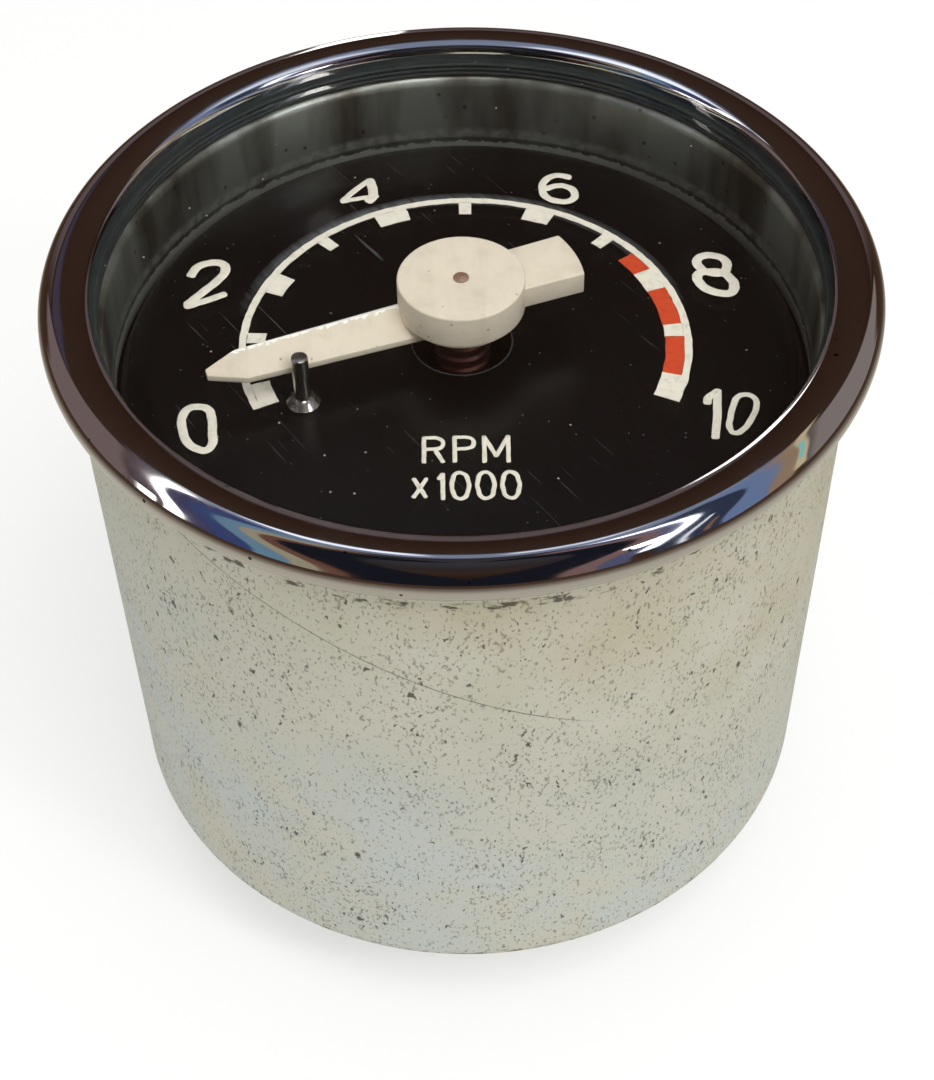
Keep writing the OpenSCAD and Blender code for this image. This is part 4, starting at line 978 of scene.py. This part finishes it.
class TACHO_OT_pointer(BuildOperator):
    """Makes the pointer: hub and tail, the folded blade, and the bush under them"""

    bl_idname = "tacho.pointer"
    bl_label = "Pointer"

    def execute(self, context):
        sizes = context.scene.tacho_sizes
        turn = Matrix.Rotation(sizes.rest_angle, 4, "Z")
        self.hub(sizes, turn)
        self.blade(sizes, turn)
        self.bush()
        return {"FINISHED"}

    def hub(self, sizes, turn):
        """The round hub, with the tail that balances the blade."""
        top = span("pointer_hub")[1].z
        radius = sizes.hub_radius / MM
        low = top - sizes.hub_height / MM
        hole = span("pointer_spindle")[1].x
        edge = 0.22
        bm = bmesh.new()
        spin(bm, (
            [(hole, top - 0.1), (hole, low), (radius - edge, low)]
            + arc((radius - edge, low + edge), edge, -90, 0, 4)[1:]
            + arc((radius - edge, top - edge), edge, 0, 90, 4)
            + [(hole + 0.25, top)]), closed=True, steps=128)
        tail_top = top - sizes.tail_drop / MM
        reach = sizes.tail_reach / MM
        root = sizes.tail_root / MM / 2
        end = sizes.tail_end / MM / 2
        inside = radius * 0.7
        half_angle = math.degrees(math.asin(end / reach))
        outline = (
            [(inside, root)]
            + [(reach * math.cos(math.radians(a)), reach * math.sin(math.radians(a)))
               for a in [half_angle * (1 - i / 8) for i in range(17)]]
            + [(inside, -root)])
        before = set(bm.verts)
        face = bm.faces.new([bm.verts.new((x, y, tail_top)) for x, y in outline])
        made = bmesh.ops.extrude_face_region(bm, geom=[face])
        moved = [v for v in made["geom"] if isinstance(v, bmesh.types.BMVert)]
        bmesh.ops.translate(bm, verts=moved, vec=(0, 0, -sizes.tail_height / MM))
        tail_edges = {e for v in bm.verts if v not in before for e in v.link_edges}
        round_edges(bm, sharp_edges(tail_edges, 30), 0.16, 3)
        tail = [v for v in bm.verts if v.is_valid and v not in before]
        bmesh.ops.rotate(bm, verts=tail, cent=(0, 0, 0), matrix=turn @ Matrix.Rotation(math.pi, 4, "Z"))
        piece("pointer_hub_tail", bm, "cream_paint", body="needle", nodes=["pointer_hub"])

    def blade(self, sizes, turn):
        """The pressed blade, folded along a ridge and cut to a blunt tip, with its eye under the hub."""
        low, high = span("pointer_blade")
        half = sizes.blade_root / MM / 2
        sheet = sizes.blade_sheet / MM
        ridge = low.z + sheet + sizes.blade_fold / MM
        fold = BLADE_FOLD_SHARE * half
        drop = 0.2 * sizes.blade_fold / MM
        reach = sizes.blade_reach / MM
        shoulder = sizes.blade_shoulder / MM
        waist = sizes.blade_waist / MM / 2
        tip = sizes.blade_tip / MM / 2
        start = 3.3
        section = [
            (half, low.z), (half, low.z + sheet), (fold, ridge), (-half, ridge - drop),
            (-half, ridge - drop - sheet), (fold, ridge - sheet)]
        bm = bmesh.new()
        face = bm.faces.new([bm.verts.new((start, y, z)) for y, z in section])
        made = bmesh.ops.extrude_face_region(bm, geom=[face])
        moved = [v for v in made["geom"] if isinstance(v, bmesh.types.BMVert)]
        bmesh.ops.translate(bm, verts=moved, vec=(reach - start, 0, 0))
        for side in (1, -1):
            taper = (half - waist, side * shoulder, 0)
            cut(bm, all_geom(bm), (shoulder, side * waist, 0), taper)
            point = (waist - tip, side * (reach - shoulder), 0)
            cut(bm, all_geom(bm), (shoulder, side * waist, 0), point)
        round_edges(bm, sharp_edges(bm.edges, 12), 0.09, 2)
        eye_z = low.z + sizes.blade_fold / MM / 2
        eye_r = sizes.hub_radius / MM - 0.7
        hole = span("pointer_spindle")[1].x
        spin(bm, [(hole, eye_z), (eye_r, eye_z), (eye_r, eye_z + sheet), (hole, eye_z + sheet)],
             closed=True, steps=96)
        bmesh.ops.rotate(bm, verts=bm.verts, cent=(0, 0, 0), matrix=turn)
        piece("pointer_blade_folded", bm, "blade_paint", body="needle",
              nodes=["pointer_blade"], sharp=25)

    def bush(self):
        """The turned bush, grooved round."""
        low, high = span("pointer_bush")
        radius = high.x
        hole = span("pointer_spindle")[1].x
        grooves = 5
        bottom = radius - 0.3
        rise = (high.z - low.z) / grooves
        side = []
        for i in range(grooves):
            z = low.z + rise * i
            side += [(bottom, z), (radius, z + 0.2 * rise), (radius, z + 0.8 * rise)]
        side.append((bottom, high.z))
        bm = bmesh.new()
        spin(bm, [(hole, low.z)] + side + [(hole, high.z)], closed=True, steps=96)
        piece("pointer_bush_turned", bm, "copper_bush", body="needle", nodes=["pointer_bush"])


# Depth of a thread, as a share of its pitch
THREAD_DEPTH = 0.54


class TACHO_OT_back(BuildOperator):
    """Makes the threaded union, the threaded studs and their nuts"""

    bl_idname = "tacho.back"
    bl_label = "Union, studs and nuts"

    def execute(self, context):
        sizes = context.scene.tacho_sizes
        self.union(sizes)
        self.studs(sizes)
        return {"FINISHED"}

    def thread(self, bm, radius, pitch, low, high, centre=(0, 0)):
        """A raised ridge that winds up a shank."""
        sunk = 0.05
        steps_round = 40
        turns = (high - low) / pitch
        crest = centre[0] + radius
        root = crest - THREAD_DEPTH * pitch - sunk
        corners = [(root, low), (root, low + pitch * 0.9), (crest, low + pitch * 0.5),
                   (crest, low + pitch * 0.4)]
        face = bm.faces.new([bm.verts.new((x, centre[1], z)) for x, z in corners])
        steps = int(turns * steps_round)
        bmesh.ops.spin(
            bm, geom=[face, *face.edges, *face.verts], cent=(*centre, 0), axis=(0, 0, 1),
            dvec=(0, 0, (high - low - pitch) / steps), angle=math.tau * (turns - 1), steps=steps,
            use_merge=False, use_normal_flip=False, use_duplicate=False)

    def hexagon(self, bm, flats, low, high, bore, centre=(0, 0)):
        """A hexagon with chamfered corners, cut from a turned blank."""
        # The chamfer starts a little inside the flats, which keeps the cut faces whole
        inset = 0.06
        corner = flats / 2 / math.cos(math.radians(30))
        face_r = flats / 2 - inset
        fall = (corner - face_r) * 0.5
        blank = spin(bm, [
            (bore, low), (face_r, low), (corner, low + fall), (corner, high - fall),
            (face_r, high), (bore, high)], closed=True, centre=centre, steps=96)
        for k in range(6):
            turn = math.radians(60 * k + 30)
            normal = (math.cos(turn), math.sin(turn), 0)
            point = (centre[0] + normal[0] * flats / 2, centre[1] + normal[1] * flats / 2, 0)
            own = {v for v in blank if v.is_valid}
            grown = {e for v in own for e in v.link_edges} | {f for v in own for f in v.link_faces}
            before = set(bm.verts)
            cut(bm, list(own) + list(grown), point, normal)
            blank = [v for v in own if v.is_valid] + [v for v in bm.verts if v not in before]

    def union(self, sizes):
        """The cable union, bored for the ferrule, with its thread and hexagon."""
        low, high = span("cable_union")
        radius = mounts["cable_thread"]["r_mm"]
        ferrule = mounts["ferrule_bore"]["r_mm"]
        depth = mounts["ferrule_bore"]["length_mm"]
        pitch = sizes.thread_pitch / MM
        flats = min((high.y - low.y) * math.cos(math.radians(30)), high.x - low.x)
        hex_top = span("union_washer")[0].z
        hex_low = hex_top - 2.5
        core = radius - THREAD_DEPTH * pitch
        bore = 3.4
        neck_r = 7
        edge = 0.2
        bm = bmesh.new()
        spin(bm, [
            (ferrule, low.z + edge), (ferrule + edge, low.z), (core - edge, low.z), (core, low.z + edge),
            (core, hex_top), (neck_r, hex_top), (neck_r, high.z), (bore, high.z), (bore, low.z + depth),
            (ferrule, low.z + depth)], closed=True, steps=96)
        self.thread(bm, radius, pitch, low.z + edge, hex_low + 0.6)
        self.hexagon(bm, flats, hex_low, hex_top, bore + 0.5)
        piece("cable_union_threaded", bm, "passivated_union", nodes=["cable_union"])

    def studs(self, sizes):
        """Both stepped studs with their nuts."""
        low, high = span("mounting_studs")
        nut_low, nut_high = span("stud_nuts")
        spacing = mounts["mounting_studs"]["spacing_x_mm"] / 2
        thin = mounts["mounting_studs"]["stud_r_mm"]
        thick = high.x - spacing
        pitch = sizes.stud_pitch / MM
        flats = min(nut_high.y - nut_low.y, 2 * (nut_high.x - spacing))
        step = nut_low.z - 0.6
        studs = bmesh.new()
        nuts = bmesh.new()
        core = thin - THREAD_DEPTH * pitch
        edge = 0.25
        for side in (-1, 1):
            centre = (side * spacing, 0)
            spin(studs, [
                (0, low.z), (core - edge, low.z), (core, low.z + edge), (core, step),
                (thick, step + 0.5), (thick, high.z), (0, high.z)], centre=centre, steps=64)
            self.thread(studs, thin, pitch, low.z + edge, step, centre)
            self.hexagon(nuts, flats, nut_low.z, nut_high.z, thick, centre)
        piece("studs_threaded", studs, "zinc_hardware", nodes=["mounting_studs"])
        piece("stud_nuts_chamfered", nuts, "zinc_hardware", nodes=["stud_nuts"])


class TACHO_OT_finish_nodes(BuildOperator):
    """Gives every node of the frame the finish that the record names for it"""

    bl_idname = "tacho.finish_nodes"
    bl_label = "Finishes of the frame's nodes"

    def execute(self, context):
        slots = {part["node"]: part["material_slot"] for part in frame["record"]["subparts"]}
        slots["pointer_spindle"] = "spindle_steel"
        for name, node in frame["nodes"].items():
            node.data.materials.clear()
            node.data.materials.append(MATERIALS[slots[name]])
        return {"FINISHED"}


CAMERA_PLACE = (0, -153.10, 207.63)
CAMERA_AIM = (0.000556, 0.671046, -0.741416)
CAMERA_ROLL = -1.035
CAMERA_LENS = 65.34

RAY_KINDS = ("camera", "diffuse", "glossy", "transmission", "shadow")

# The floor lies just under the object, and glows by this much so that it looks white
FLOOR_SIZE = 4
FLOOR_DROP = 0.0002
FLOOR_GLOW = 0.5
SKY_LEVEL = 0.78

# Name, place, size, power, and whether metal mirrors it
LAMPS = [
    ("key", (0.16, -0.36, 0.88), 0.40, 3.6, False),
    ("fill", (0.46, -0.40, 0.60), 0.12, 1.0, True),
]
LAMP_AIM = (0, 0, 0.05)

# The mirrored room: its wall from which elevation over what span, its bench, and the shells that its
# bands and panes lie on, each a step inside the one before. Their borders fade out
ROOM_RADIUS = 1.0
ROOM_LEVEL = 1.6
WALL_FOOT = -5
WALL_SPAN = 95
BENCH_REACH = 1000
BENCH_LEVEL = 0.0003
BAND_SHELL = 0.97
PANE_SHELL = 0.7
SHELL_STEP = 0.01
FADE = 8
ARCH_AZIMUTH = 46
ARCH_RISE = 27
ARCH_SLOPE = 0.45
WALL_COLOURS = [(-5, "#3d2c22"), (12, "#33241b"), (28, "#291b14"), (46, "#33261f"), (62, "#2a2627"),
                (90, "#34343a")]
BENCH_COLOURS = [(0, "#a2a094"), (110, "#a09d92"), (170, "#746b62"), (300, "#43342a"), (1000, "#33241b")]

# What stands in the room, as bands that curve over the object on its left (-1) and right (1): the half
# width of the arch inside and outside, from which height to which up and over it, all in degrees, then
# colour and brightness
ROOM_BANDS = [
    (-1, 12, 54, -25, 95, "#685b5c", 1.0),
    (-1, 52, 63, -25, 108, "#4d434c", 1.0),
    (-1, 67, 77, -20, 106, "#3d3a58", 1.0),
    (-1, 75, 87, -20, 106, "#34406a", 1.0),
    (-1, 85, 96, -20, 104, "#5c7a90", 1.0),
    (-1, 94, 103, -20, 102, "#8c8774", 1.0),
    (-1, 101, 109, -20, 102, "#5e4238", 1.0),
    (-1, 107, 140, -24, 100, "#15171f", 1.0),
    (-1, 62, 68, -8, 114, "#ffffff", 2.5),
    (-1, 54, 60, -20, 14, "#ffffff", 2.5),
    (1, 12, 51, -15, 95, "#777070", 1.0),
    (1, 53, 63, -10, 106, "#86725f", 1.0),
    (1, 61, 76, -10, 108, "#5f7398", 1.0),
    (1, 74, 93, -15, 106, "#2c3448", 1.0),
    (1, 97, 107, -15, 104, "#4c4f6c", 1.0),
    (1, 105, 115, -15, 102, "#70595a", 1.0),
    (1, 113, 140, -24, 100, "#15171f", 1.0),
    (1, 49, 54, 0, 108, "#b5aa8c", 1.0),
    (1, 51, 53, 25, 75, "#5fb8bc", 1.0),
    (1, 92, 98, 12, 108, "#e4ecff", 2.5),
    (1, 84, 86, -5, 40, "#c8cede", 1.5),
    (1, 78, 80, 0, 25, "#7a5a48", 1.0),
]

# What hangs behind the object, as plain panes: azimuths, elevations, colour and brightness
ROOM_PANES = [
    (-46, 44, 3, 27, "#544a4d", 1.0),
    (-44, -17, 29, 41, "#3a3644", 1.0),
    (-38, 42, 51, 71, "#6f7a92", 1.0),
    (-22, -3, 53, 62, "#c8d0e0", 1.6),
    (3, 17, 54, 61, "#b8c0d0", 1.3),
    (-9, -3, -8, 26, "#ffffff", 2.5),
]

EYE_LEVEL = span("bezel")[1].z * MM


def on_shell(azimuth, elevation, radius):
    """A place round the bezel: azimuth in degrees from the back to the right, elevation over the bench."""
    turn = math.radians(azimuth)
    tilt = math.radians(elevation)
    away = Vector((math.sin(turn) * math.cos(tilt), math.cos(turn) * math.cos(tilt), math.sin(tilt)))
    return away * radius + Vector((0, 0, EYE_LEVEL))


def between(stops, value):
    """The colour at a value between stops, as linear RGBA."""
    for (low, first), (high, last) in zip(stops, stops[1:]):
        if value <= high:
            share = max(0, (value - low) / (high - low))
            return [a + (b - a) * share for a, b in zip(linear(first), linear(last))]
    return linear(stops[-1][1])


def seen_plainly(tree):
    """One for a ray from the camera, off a mirror or through glass, and nothing for any other."""
    path = add(tree, "LightPath")
    seen = add(tree, "Math", {"operation": "ADD"},
               {0: path.outputs["Is Camera Ray"], 1: path.outputs["Is Glossy Ray"]})
    return add(tree, "Math", {"operation": "ADD"}, {0: seen, 1: path.outputs["Is Transmission Ray"]})


class TACHO_OT_stage(BuildOperator):
    """Sets up the floor, the room that the metal mirrors, the lamps and the camera"""

    bl_idname = "tacho.stage"
    bl_label = "Stage"

    def execute(self, context):
        self.floor(context)
        self.room(context)
        self.world(context)
        self.lamps(context)
        self.camera(context)
        return {"FINISHED"}

    def put(self, context, name, mesh, material, seen):
        """Puts a mesh on the stage, seen only by some kinds of ray."""
        mesh.materials.append(material)
        made = bpy.data.objects.new(name, mesh)
        context.scene.collection.objects.link(made)
        for kind in RAY_KINDS:
            setattr(made, "visible_" + kind, kind in seen)

    def floor(self, context):
        """A large pale floor, white to the eye, that keeps the object's shadow."""
        bm = bmesh.new()
        bmesh.ops.create_grid(bm, x_segments=1, y_segments=1, size=FLOOR_SIZE)
        bmesh.ops.translate(bm, verts=bm.verts, vec=(0, 0, -FLOOR_DROP))
        mesh = bpy.data.meshes.new("floor")
        bm.to_mesh(mesh)
        bm.free()
        material, tree = bare_material("white_floor")
        share = add(tree, "Math", {"operation": "MULTIPLY", 1: FLOOR_GLOW}, {0: seen_plainly(tree)})
        pale = add(tree, "BsdfDiffuse", {"Color": linear("#f4f4f2")})
        white = add(tree, "Emission", {"Color": (1, 1, 1, 1), "Strength": 1.0})
        both = add(tree, "MixShader", {}, {0: share, 1: pale, 2: white})
        add(tree, "OutputMaterial", {}, {"Surface": both})
        self.put(context, "floor", mesh, material, RAY_KINDS)

    def room(self, context):
        """The dim room and the bench that metal mirrors, seen only off a mirror or through the glass."""
        bm = bmesh.new()
        glow = bm.verts.layers.float_color.new("glow")

        def sheet(columns, rows, place, colour):
            grid = bmesh.ops.create_grid(bm, x_segments=columns, y_segments=rows, size=0.5)
            for vert in grid["verts"]:
                u, w = vert.co.x + 0.5, vert.co.y + 0.5
                vert.co = place(u, w)
                vert[glow] = colour(u, w)

        sheet(72, 24, lambda u, w: on_shell(360 * u, WALL_SPAN * w + WALL_FOOT, ROOM_RADIUS),
              lambda u, w: between(WALL_COLOURS, WALL_SPAN * w + WALL_FOOT))
        sheet(72, 40, lambda u, w: Vector((
            math.cos(math.tau * u) * w ** 2, math.sin(math.tau * u) * w ** 2, BENCH_LEVEL)) * ROOM_RADIUS,
            lambda u, w: between(BENCH_COLOURS, BENCH_REACH * w ** 2))
        for number, (side, inner, outer, first, last, colour, level) in enumerate(ROOM_BANDS):
            radius = ROOM_RADIUS * (BAND_SHELL - SHELL_STEP * number)
            seen = [c * level for c in linear(colour)[:3]]

            def on_arch(u, w):
                wide = inner + (outer - inner) * u
                turn = math.radians(first + (last - first) * w)
                rise = min(wide, ARCH_RISE + ARCH_SLOPE * wide)
                return on_shell(side * (ARCH_AZIMUTH + wide * math.cos(turn)), rise * math.sin(turn), radius)

            sheet(8, 24, on_arch, lambda u, w: (*seen, min(1, FADE * min(u, 1 - u, 3 * w, 3 - 3 * w))))
        for number, (left, right, low, high, colour, level) in enumerate(ROOM_PANES):
            radius = ROOM_RADIUS * (PANE_SHELL - SHELL_STEP * number)
            seen = [c * level for c in linear(colour)[:3]]

            def on_pane(u, w):
                return on_shell(left + (right - left) * u, low + (high - low) * w, radius)

            sheet(16, 16, on_pane, lambda u, w: (*seen, min(1, FADE * min(u, 1 - u, w, 1 - w))))
        mesh = bpy.data.meshes.new("room")
        bm.to_mesh(mesh)
        bm.free()
        material, tree = bare_material("dim_room")
        tone = add(tree, "Attribute", {"attribute_name": "glow"})
        light = add(tree, "Emission", {"Strength": ROOM_LEVEL}, {"Color": tone.outputs["Color"]})
        clear = add(tree, "BsdfTransparent")
        faded = add(tree, "MixShader", {}, {0: tone.outputs["Alpha"], 1: clear, 2: light})
        add(tree, "OutputMaterial", {}, {"Surface": faded})
        material.cycles.emission_sampling = "NONE"
        self.put(context, "room", mesh, material, ("glossy", "transmission"))

    def world(self, context):
        """Even soft light from all round."""
        world = bpy.data.worlds.new("soft_light")
        context.scene.world = world
        world.use_nodes = True
        tree = world.node_tree
        tree.nodes.clear()
        strength = add(tree, "MapRange", {"To Min": SKY_LEVEL, "To Max": 1.0}, {"Value": seen_plainly(tree)})
        sky = add(tree, "Background", {"Color": (1, 1, 1, 1)}, {"Strength": strength})
        add(tree, "OutputWorld", {}, {"Surface": sky})

    def lamps(self, context):
        """Two lamps at the front right: a broad one high up, which metal doesn't mirror, and a small one."""
        for name, place, size, power, mirrored in LAMPS:
            light = bpy.data.lights.new(name, "AREA")
            light.size = size
            light.energy = power
            lamp = bpy.data.objects.new(name, light)
            lamp.location = place
            lamp.visible_glossy = mirrored
            aim = Vector(LAMP_AIM) - Vector(place)
            lamp.rotation_euler = aim.to_track_quat("-Z", "Y").to_euler()
            context.scene.collection.objects.link(lamp)

    def camera(self, context):
        """The camera at the photograph's place."""
        ahead = Vector(CAMERA_AIM).normalized()
        right = ahead.cross(Vector((0, 0, 1))).normalized()
        up = right.cross(ahead)
        roll = math.radians(CAMERA_ROLL)
        across = right * math.cos(roll) + up * math.sin(roll)
        upward = up * math.cos(roll) - right * math.sin(roll)
        turn = Matrix((across, upward, -ahead)).transposed().to_4x4()
        lens = bpy.data.cameras.new("camera")
        lens.lens = CAMERA_LENS
        lens.sensor_width = 36
        lens.clip_start = 0.01
        camera = bpy.data.objects.new("camera", lens)
        camera.matrix_world = Matrix.Translation(Vector(CAMERA_PLACE) * MM) @ turn
        context.scene.collection.objects.link(camera)
        context.scene.camera = camera
        context.scene.view_settings.view_transform = "Standard"


class TACHO_PT_panel(bpy.types.Panel):
    """Lists the pieces and their sizes and colours"""

    bl_label = "Tachometer"
    bl_idname = "TACHO_PT_panel"
    bl_space_type = "VIEW_3D"
    bl_region_type = "UI"
    bl_category = "Tachometer"

    def draw(self, context):
        for operator in OPERATORS:
            self.layout.operator(operator.bl_idname)
        for group in (context.scene.tacho_sizes, context.scene.tacho_colours):
            for name in group.__annotations__:
                self.layout.prop(group, name)


OPERATORS = (
    TACHO_OT_finish_nodes, TACHO_OT_case, TACHO_OT_bezel, TACHO_OT_glass, TACHO_OT_spacer_ring,
    TACHO_OT_dial, TACHO_OT_stop_pin, TACHO_OT_pointer, TACHO_OT_back, TACHO_OT_stage,
)
CLASSES = (TachoSizes, TachoColours, *OPERATORS, TACHO_PT_panel)


def register():
    """Registers the classes and their settings."""
    for kind in CLASSES:
        bpy.utils.register_class(kind)
    bpy.types.Scene.tacho_sizes = bpy.props.PointerProperty(type=TachoSizes)
    bpy.types.Scene.tacho_colours = bpy.props.PointerProperty(type=TachoColours)


def unregister():
    """Takes them away again."""
    del bpy.types.Scene.tacho_colours
    del bpy.types.Scene.tacho_sizes
    for kind in reversed(CLASSES):
        bpy.utils.unregister_class(kind)


def main():
    """Makes everything in order."""
    register()
    make_materials()
    bpy.ops.tacho.finish_nodes()
    bpy.ops.tacho.case()
    bpy.ops.tacho.bezel()
    bpy.ops.tacho.glass()
    bpy.ops.tacho.spacer_ring()
    bpy.ops.tacho.dial()
    bpy.ops.tacho.stop_pin()
    bpy.ops.tacho.pointer()
    bpy.ops.tacho.back()
    bpy.ops.tacho.stage()


if __name__ == "__main__":
    main()
